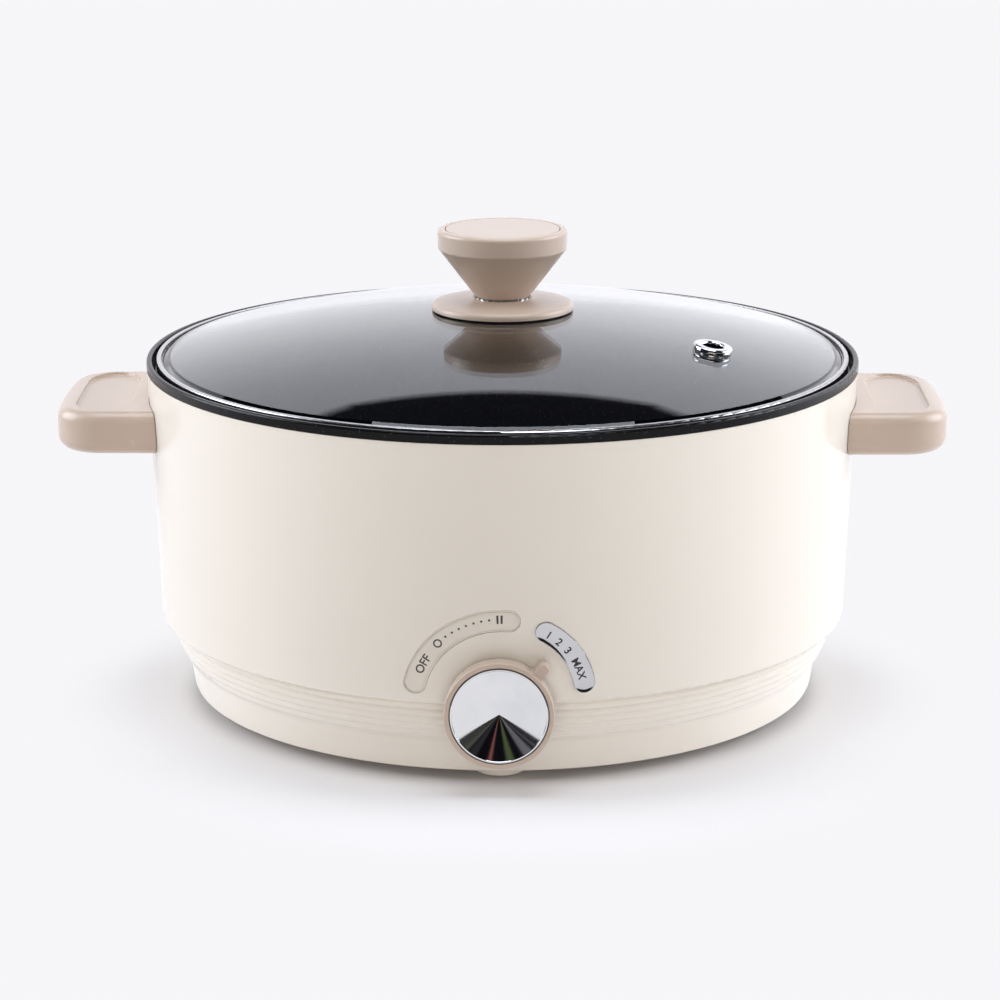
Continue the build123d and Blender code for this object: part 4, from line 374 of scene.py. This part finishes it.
# %% [markdown]
# Turned and spun metal shows the tool's path as fine rings round its axis. The rings come from a
# noise along the radius, so they have no regular step. What is turned here, the lid's band and the
# heater plate, has the pot's own axis, so the radius is the distance from Z. The small fuse inside
# borrows the plate's finish, rings and all, since nothing shows it.

# %% Turned rings
RING_TONE = (0.2, 0.8, 0.9, 1.05)    # from two values of the noise to two brightness factors
RING_CLOUD = 40.0            # patches of gloss, about 25 mm across


def make_turned_rings():
    """Group for metal turned about the pot's axis."""
    group, given, wanted = start_group("turned_rings", (
        ("Color", "Color", WHITE), ("Ring Scale", "Float", 2500.0), ("Gloss Floor", "Float", 0.15),
        ("Gloss Spread", "Float", 0.1),
    ), SURFACE)
    place = add(group, "ShaderNodeTexCoord").outputs["Object"]
    flat = add(group, "ShaderNodeVectorMath", {0: place, 1: (1, 1, 0)}, operation="MULTIPLY")
    radius = add(group, "ShaderNodeVectorMath", {0: flat.outputs[0]}, operation="LENGTH")
    rings = add(group, "ShaderNodeTexNoise",
                {"W": radius.outputs["Value"], "Scale": given["Ring Scale"], "Detail": 1.0},
                noise_dimensions="1D").outputs[0]
    cloud = add(group, "ShaderNodeTexNoise", {"Vector": place, "Scale": RING_CLOUD}).outputs[0]
    rough = sums(group, "MULTIPLY_ADD", cloud, given["Gloss Spread"])
    group.links.new(given["Gloss Floor"], rough.node.inputs[2])
    shade = remap(group, rings, *RING_TONE)
    toned = add(group, "ShaderNodeHueSaturation", {"Color": given["Color"], "Value": shade})
    return finish_group(group, wanted, toned.outputs[0], rough, rings)


turned_rings = make_turned_rings()

# %% [markdown]
# The bowl's non-stick coat is black with fine mineral flecks. A Voronoi pattern gives every cell
# its own random value; only the lowest ones become a lighter fleck.

# %% Flecked coat
COAT_GLOSS_SPREAD = 0.12
COAT_GRAIN = 2600.0          # grain under half a millimetre
FLECK_FADE = (0.1, 0.5)      # how far from its middle a fleck fades out, in cells


def make_flecked_coat():
    """Group for the bowl's non-stick coat."""
    group, given, wanted = start_group("flecked_coat", (
        ("Color", "Color", (0.01, 0.01, 0.011, 1.0)), ("Fleck Color", "Color", (0.2, 0.2, 0.21, 1.0)),
        ("Fleck Scale", "Float", 1400.0), ("Fleck Share", "Float", 0.12), ("Gloss Floor", "Float", 0.3),
    ), SURFACE)
    place = add(group, "ShaderNodeTexCoord").outputs["Object"]
    cells = add(group, "ShaderNodeTexVoronoi", {"Vector": place, "Scale": given["Fleck Scale"]})
    chance = add(group, "ShaderNodeSeparateColor", {0: cells.outputs["Color"]}).outputs[0]
    picked = sums(group, "LESS_THAN", chance, given["Fleck Share"])
    core = remap(group, cells.outputs["Distance"], *FLECK_FADE, 1.0, 0.0)
    fleck = sums(group, "MULTIPLY", picked, core)
    colour = blend_colours(group, fleck, given["Color"], given["Fleck Color"])
    fine = add(group, "ShaderNodeTexNoise",
               {"Vector": place, "Scale": COAT_GRAIN, "Detail": 2.0}).outputs[0]
    rough = sums(group, "MULTIPLY_ADD", fine, COAT_GLOSS_SPREAD)
    group.links.new(given["Gloss Floor"], rough.node.inputs[2])
    height = sums(group, "ADD", fine, fleck)
    return finish_group(group, wanted, colour, rough, height)


flecked_coat = make_flecked_coat()

# %% [markdown]
# Plated and rolled sheet metal breaks its gloss up in cloudy patches. Zinc grows in flat crystals,
# the spangle, so the same group mixes in a cell pattern for galvanised sheet.

# %% Plated metal
PLATE_CLOUD = 60.0           # cloudy patches, about 17 mm across
PLATE_GRAIN = 1800.0
TINT_RISE = (0.4, 0.7)       # cloud values between which the tint comes in
DARKEST_CRYSTAL = 0.6        # brightness factor at a full spangle


def make_plated_metal():
    """Group for plated and rolled metal."""
    group, given, wanted = start_group("plated_metal", (
        ("Color", "Color", WHITE), ("Tint", "Color", WHITE), ("Spangle", "Float", 0.0),
        ("Spangle Scale", "Float", 150.0), ("Gloss Floor", "Float", 0.2),
        ("Gloss Spread", "Float", 0.15),
    ), SURFACE)
    place = add(group, "ShaderNodeTexCoord").outputs["Object"]
    cells = add(group, "ShaderNodeTexVoronoi", {"Vector": place, "Scale": given["Spangle Scale"]})
    crystal = add(group, "ShaderNodeSeparateColor", {0: cells.outputs["Color"]}).outputs[0]
    shine = sums(group, "MULTIPLY", crystal, given["Spangle"])
    cloud = add(group, "ShaderNodeTexNoise",
                {"Vector": place, "Scale": PLATE_CLOUD, "Detail": 4.0}).outputs[0]
    tint = remap(group, cloud, *TINT_RISE, 0.0, 1.0)
    tinted = blend_colours(group, tint, given["Color"], given["Tint"])
    value = remap(group, shine, 0.0, 1.0, 1.0, DARKEST_CRYSTAL)
    toned = add(group, "ShaderNodeHueSaturation", {"Color": tinted, "Value": value})
    rough = sums(group, "MULTIPLY_ADD", sums(group, "ADD", cloud, shine), given["Gloss Spread"])
    group.links.new(given["Gloss Floor"], rough.node.inputs[2])
    fine = add(group, "ShaderNodeTexNoise", {"Vector": place, "Scale": PLATE_GRAIN}).outputs[0]
    return finish_group(group, wanted, toned.outputs[0], rough, fine)


plated_metal = make_plated_metal()

# %% [markdown]
# ## Finishes
#
# One helper turns a group and its values into a material. What is the same all over a surface,
# such as metalness, is typed straight into the shader.

# %% Finish helper
RELIEF = 0.00005     # metres that a full bump stands for
finishes = {}


def finish(name, group, values, bump=0.1, **shader):
    """Material from a surface group; values fill the group, shader fills the Principled BSDF."""
    material = bpy.data.materials.new(name)
    material.use_nodes = True
    tree = material.node_tree
    surface = tree.nodes["Principled BSDF"]
    skin = add(tree, "ShaderNodeGroup", node_tree=group)
    for key, value in values.items():
        skin.inputs[key].default_value = value
    feeds = {"Height": skin.outputs["Height"], "Strength": bump, "Distance": RELIEF}
    grain = add(tree, "ShaderNodeBump", feeds)
    tree.links.new(skin.outputs["Color"], surface.inputs["Base Color"])
    tree.links.new(skin.outputs["Roughness"], surface.inputs["Roughness"])
    tree.links.new(grain.outputs[0], surface.inputs["Normal"])
    # A keyword such as specular_ior_level fills the socket Specular IOR Level.
    for key, value in shader.items():
        surface.inputs[key.replace("_", " ").title().replace("Ior", "IOR")].default_value = value
    finishes[name] = material
    return material


def tone(red, green, blue):
    """Linear colour from the 0 to 255 values of a colour chart."""
    line = []
    for value in (red, green, blue):
        share = value / 255
        line.append(share / 12.92 if share <= 0.04045 else ((share + 0.055) / 1.055) ** 2.4)
    return (*line, 1.0)


# %% [markdown]
# The casing, the handles and the knobs are moulded plastic, and the seals and feet are rubber. The
# mould's polish sets the gloss: the cream casing is almost shiny, the beige grips are a little
# duller, and the rubber is matte. All of them share the moulded skin and differ in tone, grain and
# gloss, so each is one call. A node tree for each would look the same and be far longer.

# %% Plastics and rubbers
CREAM = tone(237, 229, 217)
SCALE_CREAM = tone(232, 224, 211)
BEIGE = tone(199, 179, 163)

finish("cream", moulded_skin, {"Color": CREAM, "Shade": 0.03, "Patch Scale": 9.0, "Grain Scale": 1200.0,
                               "Gloss Floor": 0.14, "Gloss Spread": 0.06}, bump=0.05)
finish("scale_cream", moulded_skin, {"Color": SCALE_CREAM, "Shade": 0.03, "Grain Scale": 2200.0,
                                     "Gloss Floor": 0.32}, bump=0.08)
finish("beige", moulded_skin, {"Color": BEIGE, "Shade": 0.05, "Patch Scale": 30.0, "Grain Scale": 2600.0,
                               "Gloss Floor": 0.2, "Gloss Spread": 0.1}, bump=0.1)
finish("silicone", moulded_skin, {"Color": tone(70, 68, 66), "Shade": 0.1, "Gloss Floor": 0.5}, bump=0.1)
finish("foot_rubber", moulded_skin, {"Color": tone(196, 192, 186), "Shade": 0.1, "Grain Scale": 1800.0,
                                     "Gloss Floor": 0.6}, bump=0.2)
finish("black_plastic", moulded_skin, {"Color": tone(36, 36, 38), "Shade": 0.12, "Gloss Floor": 0.4},
       bump=0.2)
finish("white_plastic", moulded_skin, {"Color": tone(222, 220, 214), "Shade": 0.05, "Gloss Floor": 0.4})
finish("white_ceramic", moulded_skin, {"Color": tone(228, 224, 214), "Shade": 0.06, "Patch Scale": 400.0,
                                       "Gloss Floor": 0.6}, bump=0.2)
finish("mark_ink", moulded_skin, {"Color": tone(84, 76, 72), "Shade": 0.1, "Grain Scale": 3000.0,
                                  "Gloss Floor": 0.5}, bump=0.1)
finish("badge_ink", moulded_skin, {"Color": tone(52, 50, 54), "Shade": 0.1, "Grain Scale": 3000.0,
                                   "Gloss Floor": 0.45}, bump=0.1)
finish("lead_brown", moulded_skin, {"Color": tone(110, 74, 52), "Shade": 0.1, "Gloss Floor": 0.45})
finish("lead_blue", moulded_skin, {"Color": tone(50, 100, 170), "Shade": 0.1, "Gloss Floor": 0.45})
print("plastics:", len(finishes))

# %% [markdown]
# Metals are told apart by their tint and by how sharply they reflect. The chrome of the dish and
# the vent is a mirror, the zinc of the screws is satin, brass is yellow, and the heater's sheath is
# browned by heat. The band round the lid and the plate under the bowl are turned, so they take the
# rings. The bowl's coat is no metal, but it covers one and stands among them.

# %% Metals
finish("chrome_trim", plated_metal, {"Color": tone(238, 238, 240), "Tint": tone(228, 229, 232),
                                     "Gloss Floor": 0.03, "Gloss Spread": 0.03}, bump=0.01, metallic=1.0)
finish("zinc_steel", plated_metal, {"Color": tone(196, 198, 202), "Tint": tone(186, 186, 180),
                                    "Gloss Floor": 0.22}, metallic=1.0)
finish("shield_steel", plated_metal, {"Color": tone(188, 190, 190), "Tint": tone(170, 172, 174),
                                      "Spangle": 0.5, "Gloss Floor": 0.3}, metallic=1.0)
finish("element_sheath", plated_metal, {"Color": tone(150, 140, 128), "Tint": tone(96, 92, 110),
                                        "Gloss Floor": 0.35}, metallic=1.0)
finish("brass_part", plated_metal, {"Color": tone(206, 176, 108), "Tint": tone(188, 150, 84),
                                    "Gloss Floor": 0.2}, metallic=1.0)
finish("pot_coat", flecked_coat, {"Color": (0.004, 0.004, 0.0045, 1.0),
                                  "Fleck Color": (0.05, 0.05, 0.055, 1.0), "Fleck Share": 0.06,
                                  "Gloss Floor": 0.16}, bump=0.1, specular_ior_level=0.21)
finish("badge_chrome", plated_metal, {"Color": tone(212, 211, 214), "Tint": tone(200, 200, 203),
                                      "Gloss Floor": 0.06, "Gloss Spread": 0.03}, bump=0.01,
       metallic=1.0)
finish("stainless", turned_rings, {"Color": tone(206, 205, 204), "Gloss Floor": 0.16}, bump=0.1,
       metallic=1.0)
finish("cast_aluminium", turned_rings, {"Color": tone(204, 206, 210), "Ring Scale": 900.0,
                                        "Gloss Floor": 0.35}, bump=0.3, metallic=1.0)
print("plastics and metals:", len(finishes))

# %% [markdown]
# The earth lead is green with a yellow stripe. The two tones alternate along slanted bands of a
# wave pattern, which takes the place of the plain colour.

# %% Striped lead
LEAD_GREEN = tone(70, 140, 60)
LEAD_YELLOW = tone(226, 200, 60)
STRIPE_FROM = 0.6        # height of the wave above which it is yellow
STRIPE_SCALE = 120.0
STRIPE_WOBBLE = 0.4

tree = finish("lead_green", moulded_skin, {"Color": LEAD_GREEN, "Gloss Floor": 0.45}).node_tree
place = add(tree, "ShaderNodeTexCoord").outputs["Object"]
feeds = {"Vector": place, "Scale": STRIPE_SCALE, "Distortion": STRIPE_WOBBLE}
bands = add(tree, "ShaderNodeTexWave", feeds, bands_direction="DIAGONAL").outputs["Fac"]
picked = sums(tree, "GREATER_THAN", bands, STRIPE_FROM)
skin = next(node for node in tree.nodes if node.type == "GROUP")
tree.links.new(blend_colours(tree, picked, LEAD_GREEN, LEAD_YELLOW), skin.inputs["Color"])
print("lead_green:", len(tree.nodes), "nodes")

# %% [markdown]
# The lid is clear tempered glass, faintly green through its thickness. Light has to get through it
# into the bowl, and a path tracer stops shadow rays at glass, which would leave the bowl pitch
# dark. So shadow rays and diffuse rays pass it as if it were only lightly tinted air.

# %% Lid glass
GLASS_TINT = (0.965, 0.985, 0.98, 1.0)
SHADOW_TINT = (0.80, 0.82, 0.82, 1.0)
GLASS_IOR = 1.5
RIPPLE_SCALE = 14.0          # slow waves, about 70 mm long
RIPPLE_SHARE = 0.01
RIPPLE_RELIEF = 0.0002       # metres

glass = bpy.data.materials.new("clear_glass")
glass.use_nodes = True
finishes["clear_glass"] = glass
tree = glass.node_tree
clear = tree.nodes["Principled BSDF"]
clear.inputs["Base Color"].default_value = GLASS_TINT
clear.inputs["Roughness"].default_value = 0.0
clear.inputs["Transmission Weight"].default_value = 1.0
clear.inputs["IOR"].default_value = GLASS_IOR
place = add(tree, "ShaderNodeTexCoord").outputs["Object"]
ripple = add(tree, "ShaderNodeTexNoise", {"Vector": place, "Scale": RIPPLE_SCALE, "Detail": 1.0})
feeds = {"Height": ripple.outputs[0], "Strength": RIPPLE_SHARE, "Distance": RIPPLE_RELIEF}
wave = add(tree, "ShaderNodeBump", feeds)
tree.links.new(wave.outputs[0], clear.inputs["Normal"])
through = add(tree, "ShaderNodeBsdfTransparent", {"Color": SHADOW_TINT})
path = add(tree, "ShaderNodeLightPath")
ghost = sums(tree, "MAXIMUM", path.outputs["Is Shadow Ray"], path.outputs["Is Diffuse Ray"])
mixed = add(tree, "ShaderNodeMixShader", {0: ghost, 1: clear.outputs[0], 2: through.outputs[0]})
tree.links.new(mixed.outputs[0], tree.nodes["Material Output"].inputs["Surface"])
print("finishes:", sorted(finishes))

# %% [markdown]
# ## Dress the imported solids
#
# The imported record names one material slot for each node, and the finishes carry the same names,
# so one loop dresses every solid.

# %% Assign the finishes
slot_of = {row["node"]: row["material_slot"] for row in frame["record"]["subparts"]}
for name, piece in nodes.items():
    if not piece.material_slots:
        piece.data.materials.append(finishes[slot_of[name]])
    for slot in piece.material_slots:
        slot.material = finishes[slot_of[name]]
print("dressed:", len(nodes), "nodes in", len(set(slot_of.values())), "finishes")

# %% [markdown]
# ## The curved strips beside the knob
#
# A cream plate and a chrome badge follow arcs beside the knob, each with its own centre. A strip is
# one cross-section spun along its arc, and half of it spun half a turn at each end for the round
# ends. It is built flat, in millimetres, and then laid on the casing, which is a shallow cone, by
# moving every vertex straight back onto the wall. A boolean cut would give the outline too, but not
# the fine groove and bead round the plate, nor the soft hollow across the badge that draws the dark
# line along its lower edge.

# %% Laying flat work on the casing
MM = 0.001
WALL_TOP = (150.0, 141.0)    # the casing's radius at a height, in millimetres
WALL_LOW = (146.3, 46.0)
KNOB_HEIGHT = 33.9           # the control knob's axis
WELD = 0.0001                # millimetres; vertices this near are one


def wall_radius(height):
    """Outer radius of the casing's cone, in millimetres."""
    share = (WALL_TOP[1] - height) / (WALL_TOP[1] - WALL_LOW[1])
    return WALL_TOP[0] - (WALL_TOP[0] - WALL_LOW[0]) * share


def lay_on_casing(bm):
    """Moves flat work (right, out of the wall, up from the knob's axis) onto the casing."""
    for vertex in bm.verts:
        right, out, up = vertex.co
        height = KNOB_HEIGHT + up
        back = math.sqrt(wall_radius(height) ** 2 - right ** 2) + out
        vertex.co = Vector((right, -back, height)) * MM


def make_piece(name, bm, finish_name, body="base", smooth_angle=35):
    """Object from a bmesh in metres, riding on a body, with its finish."""
    bmesh.ops.remove_doubles(bm, verts=bm.verts, dist=WELD * MM)
    bmesh.ops.recalc_face_normals(bm, faces=bm.faces)
    mesh = bpy.data.meshes.new(name)
    bm.to_mesh(mesh)
    bm.free()
    mesh.shade_smooth()
    mesh.set_sharp_from_angle(angle=math.radians(smooth_angle))
    mesh.materials.append(finishes[finish_name])
    piece = bpy.data.objects.new(name, mesh)
    bpy.context.scene.collection.objects.link(piece)
    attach(piece, body)
    print("piece:", name, len(mesh.polygons), "faces")
    return piece


# %% [markdown]
# A strip is the same on both sides of its middle, so only half of its cross-section is written
# down, from the middle of its face round to the middle of its back. A height above zero stands
# proud of the wall, and one below lies in it. The steps along the arc are short, so that the
# polished badge shows no facets.

# %% Curved strips
# An arc has its centre, right and up from the knob's axis, its radius and its two end angles.
SCALE_CENTRE, SCALE_RADIUS, SCALE_FROM, SCALE_TO = (0.8, 1.8), 34.8, 84.9, 166.3
BADGE_CENTRE, BADGE_RADIUS, BADGE_FROM, BADGE_TO = (3.1, 5.2), 30.5, 9.4, 60.4
STRIP_STEPS = 72
END_STEPS = 32
STRIP_WELD = 0.002
SCALE_HALF = (      # half a cross-section: distance from the strip's middle, height on the wall
    (0.0, -0.08), (2.0, -0.08), (3.50, -0.08), (3.58, -0.12), (3.64, -0.38), (3.86, -0.38),
    (3.92, -0.10), (4.00, 0.02), (4.16, 0.06), (4.30, 0.02), (4.38, -0.10), (4.40, -0.30),
    (4.40, -1.05), (0.0, -1.05),
)
BADGE_HALF = (
    (0.0, 0.60), (1.2, 0.60), (1.8, 0.602), (2.3, 0.617), (2.8, 0.661), (3.3, 0.735), (3.7, 0.815),
    (3.88, 0.858), (3.98, 0.87), (4.07, 0.84), (4.12, 0.76), (4.12, -0.75), (0.0, -0.75),
)


def on_arc(centre, radius, angle):
    """Point of an arc, flat, seen from the front."""
    turn = math.radians(angle)
    return Vector((centre[0] + radius * math.cos(turn), 0, centre[1] + radius * math.sin(turn)))


def draw_line(bm, points):
    """A run of edges through points; gives what spin takes."""
    verts = [bm.verts.new(point) for point in points]
    edges = [bm.edges.new(pair) for pair in zip(verts, verts[1:])]
    return verts + edges


def curved_strip(centre, radius, start, end, half):
    """Closed strip along an arc with round ends, still flat."""
    bm = bmesh.new()
    axis = Vector((0, 1, 0))
    hub = Vector((centre[0], 0, centre[1]))
    across = (on_arc(centre, radius, start) - hub).normalized()
    first = on_arc(centre, radius, start)
    whole = [first - across * d + Vector((0, h, 0)) for d, h in reversed(half)]
    whole += [first + across * d + Vector((0, h, 0)) for d, h in half[1:]]
    bmesh.ops.spin(bm, geom=draw_line(bm, whole), cent=hub, axis=axis,
                   angle=-math.radians(end - start), steps=STRIP_STEPS)
    for angle, way in ((start, 1), (end, -1)):
        at = on_arc(centre, radius, angle)
        out = (at - hub).normalized()
        line = [at + out * d + Vector((0, h, 0)) for d, h in half]
        bmesh.ops.spin(bm, geom=draw_line(bm, line), cent=at, axis=axis,
                       angle=way * math.pi, steps=END_STEPS)
    bmesh.ops.remove_doubles(bm, verts=bm.verts, dist=STRIP_WELD)
    return bm


for name, arc, half, node, look in (
        ("scale_strip", (SCALE_CENTRE, SCALE_RADIUS, SCALE_FROM, SCALE_TO), SCALE_HALF,
         "scale_plate", "scale_cream"),
        ("badge_strip", (BADGE_CENTRE, BADGE_RADIUS, BADGE_FROM, BADGE_TO), BADGE_HALF,
         "scale_badge", "badge_chrome")):
    flat = curved_strip(*arc, half)
    lay_on_casing(flat)
    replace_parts(make_piece(name, flat, look), node)

# %% [markdown]
# ## The marks
#
# The marks are printed: a word, a ring, seven dots and two bars on the plate, and three numbers and
# a word on the badge. A print has almost no height, so each mark is a thin shape a few hundredths
# of a millimetre above its strip. A letter starts as a text curve turned into a mesh. All marks are
# drawn along a straight line and then bent round the strip's arc, so that their tops point outwards.

# %% Mark shapes
MARK_LIFT = 0.03         # millimetres above the strip
LETTER_WEIGHT = 0.09     # added all round a letter's strokes
CAPITAL_SHARE = 0.72     # a capital's height as a share of the font's size
ROUND_SIDES = 40


def stand_up(bm):
    """Turns flat work from the ground's plane to face the front."""
    quarter = Matrix.Rotation(math.pi / 2, 3, "X")
    bmesh.ops.rotate(bm, cent=(0, 0, 0), matrix=quarter, verts=bm.verts)
    return bm


def text_shape(words, tall):
    """Flat letters, centred on the origin, as a bmesh of (along, out, up)."""
    curve = bpy.data.curves.new("letters", "FONT")
    curve.body = words
    curve.size = tall / CAPITAL_SHARE
    curve.align_x = "CENTER"
    curve.offset = LETTER_WEIGHT
    curve.resolution_u = 6
    holder = bpy.data.objects.new("letters", curve)
    mesh = bpy.data.meshes.new_from_object(holder)
    bm = bmesh.new()
    bm.from_mesh(mesh)
    bpy.data.objects.remove(holder)
    bpy.data.curves.remove(curve)
    bpy.data.meshes.remove(mesh)
    bmesh.ops.translate(bm, vec=(0, -tall / 2, 0), verts=bm.verts)
    return stand_up(bm)


def disc_shape(radius, hole=0.0):
    """Flat disc or ring."""
    bm = bmesh.new()
    bmesh.ops.create_circle(bm, cap_ends=True, segments=ROUND_SIDES, radius=radius)
    if hole:
        bmesh.ops.inset_region(bm, faces=bm.faces[:], thickness=radius - hole, use_boundary=True)
        middle = max(bm.faces, key=lambda face: len(face.verts))
        bmesh.ops.delete(bm, geom=[middle], context="FACES")
    return stand_up(bm)


def bar_shape(wide, tall, shift):
    """Flat upright bar."""
    bm = bmesh.new()
    bmesh.ops.create_grid(bm, x_segments=1, y_segments=4, size=0.5)
    bmesh.ops.scale(bm, vec=(wide, tall, 1), verts=bm.verts)
    bmesh.ops.translate(bm, vec=(shift, 0, 0), verts=bm.verts)
    return stand_up(bm)


def half_height(half, across):
    """Height of a strip's top at a distance from its middle."""
    across = abs(across)
    for (near, low), (far, high) in zip(half, half[1:]):
        if near <= across <= far:
            return low + (high - low) * (across - near) / (far - near)
    return half[0][1]


def print_marks(name, marks, centre, radius, half, finish_name):
    """Bends marks, each with its angle and its distance from the centre, and lays them down."""
    print(name + ":", len(marks), "marks")
    together = bmesh.new()
    for bm, angle, at_radius in marks:
        for vertex in bm.verts:
            along, _, up = vertex.co
            distance = at_radius + up
            turn = angle - math.degrees(along / at_radius)
            rise = half_height(half, distance - radius) + MARK_LIFT
            vertex.co = on_arc(centre, distance, turn) + Vector((0, rise, 0))
        scrap = bpy.data.meshes.new("scrap")
        bm.to_mesh(scrap)
        bm.free()
        together.from_mesh(scrap)
        bpy.data.meshes.remove(scrap)
    grown = bmesh.ops.extrude_face_region(together, geom=together.faces[:])
    moved = [item for item in grown["geom"] if isinstance(item, bmesh.types.BMVert)]
    bmesh.ops.translate(together, vec=(0, -MARK_LIFT, 0), verts=moved)
    lay_on_casing(together)
    return make_piece(name, together, finish_name)


# %% [markdown]
# On the plate the word and the bars stand at the two ends, with the ring and the dots between them.
# Each mark is a shape with its angle on the arc and its distance from the arc's centre, so the same
# function lays down all of them.

# %% Print the marks
SIGN_TALL = 3.4      # the word OFF and the two bars
OFF_PLACE = (152.4, 34.7)        # the angle on the arc and the distance from its centre
RING_PLACE = (134.9, 35.1)
RING_RADIUS, RING_HOLE = 1.75, 1.15
DOT_RADIUS = 0.46
DOT_ANGLES = [97.7 + 5.05 * step for step in range(7)]
BAR_ANGLE, BAR_WIDE, BAR_SHIFT = 91.1, 0.85, 0.8
MARK_RADIUS = 35.25
NUMBER_TALL, NUMBER_RADIUS = 3.1, 30.2
NUMBER_ANGLES = {"1": 57.5, "2": 48.0, "3": 38.5, "MAX": 21.5}

scale_marks = [(text_shape("OFF", SIGN_TALL), *OFF_PLACE),
               (disc_shape(RING_RADIUS, RING_HOLE), *RING_PLACE)]
scale_marks += [(disc_shape(DOT_RADIUS), angle, MARK_RADIUS) for angle in DOT_ANGLES]
scale_marks += [(bar_shape(BAR_WIDE, SIGN_TALL, shift), BAR_ANGLE, MARK_RADIUS)
                for shift in (-BAR_SHIFT, BAR_SHIFT)]
print_marks("scale_marks", scale_marks, SCALE_CENTRE, SCALE_RADIUS, SCALE_HALF, "mark_ink")
badge_marks = [(text_shape(words, NUMBER_TALL), angle, NUMBER_RADIUS)
               for words, angle in NUMBER_ANGLES.items()]
print_marks("badge_marks", badge_marks, BADGE_CENTRE, BADGE_RADIUS, BADGE_HALF, "badge_ink")

# %% [markdown]
# ## The dish in the control knob
#
# The dish is spun sheet: a shallow hollow cone inside a narrow flat lip, plated and polished. Along
# one radius a cone shows much the same thing all the way in, so its point must stay sharp. Shading
# blends the faces round a point into a blunt tip, so two more loops near the tip keep that blend
# too small to see. The profile is spun a full turn about the knob's axis.

# %% Knob dish
DISH_STEPS = 160
CONE_SLOPE = 0.1413
CONE_EDGE = 0.14             # depth of the cone's edge behind the lip
LIP = 0.78                   # width from the cone to the rim
TIP_LOOPS = (0.06, 2.0)      # distances of the loops near the tip

dish_low, dish_high = (Vector(corner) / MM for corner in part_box("knob_dish"))
rim = (dish_high.x - dish_low.x) / 2
deep = dish_high.y - dish_low.y
cone = rim - LIP
tip = CONE_EDGE + cone * CONE_SLOPE
profile = [(r, tip - r * CONE_SLOPE) for r in (0.0, *TIP_LOOPS, cone)]   # from the axis, behind the lip
profile += [     # a step up to the flat lip, then round the rim to the back
    (rim - 0.70, 0.03), (rim - 0.62, 0.0), (rim - 0.22, 0.0), (rim - 0.10, 0.04), (rim - 0.02, 0.13),
    (rim, 0.30), (rim, deep), (0.0, deep),
]
bm = bmesh.new()
hub = Vector((0, 0, KNOB_HEIGHT))
line = [hub + Vector((r, dish_low.y + d, 0)) for r, d in profile]
bmesh.ops.spin(bm, geom=draw_line(bm, line), cent=hub, axis=(0, 1, 0), angle=2 * math.pi,
               steps=DISH_STEPS, use_merge=True)
bmesh.ops.scale(bm, vec=(MM, MM, MM), verts=bm.verts)
dish = make_piece("polished_dish", bm, "chrome_trim", body="knob",
                  smooth_angle=12)
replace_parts(dish, "knob_dish")

# %% [markdown]
# ## The end
#
# The view layer is brought up to date once more. What is built here may not reach past the solids
# that it dresses.

# %% End
bpy.context.view_layer.update()
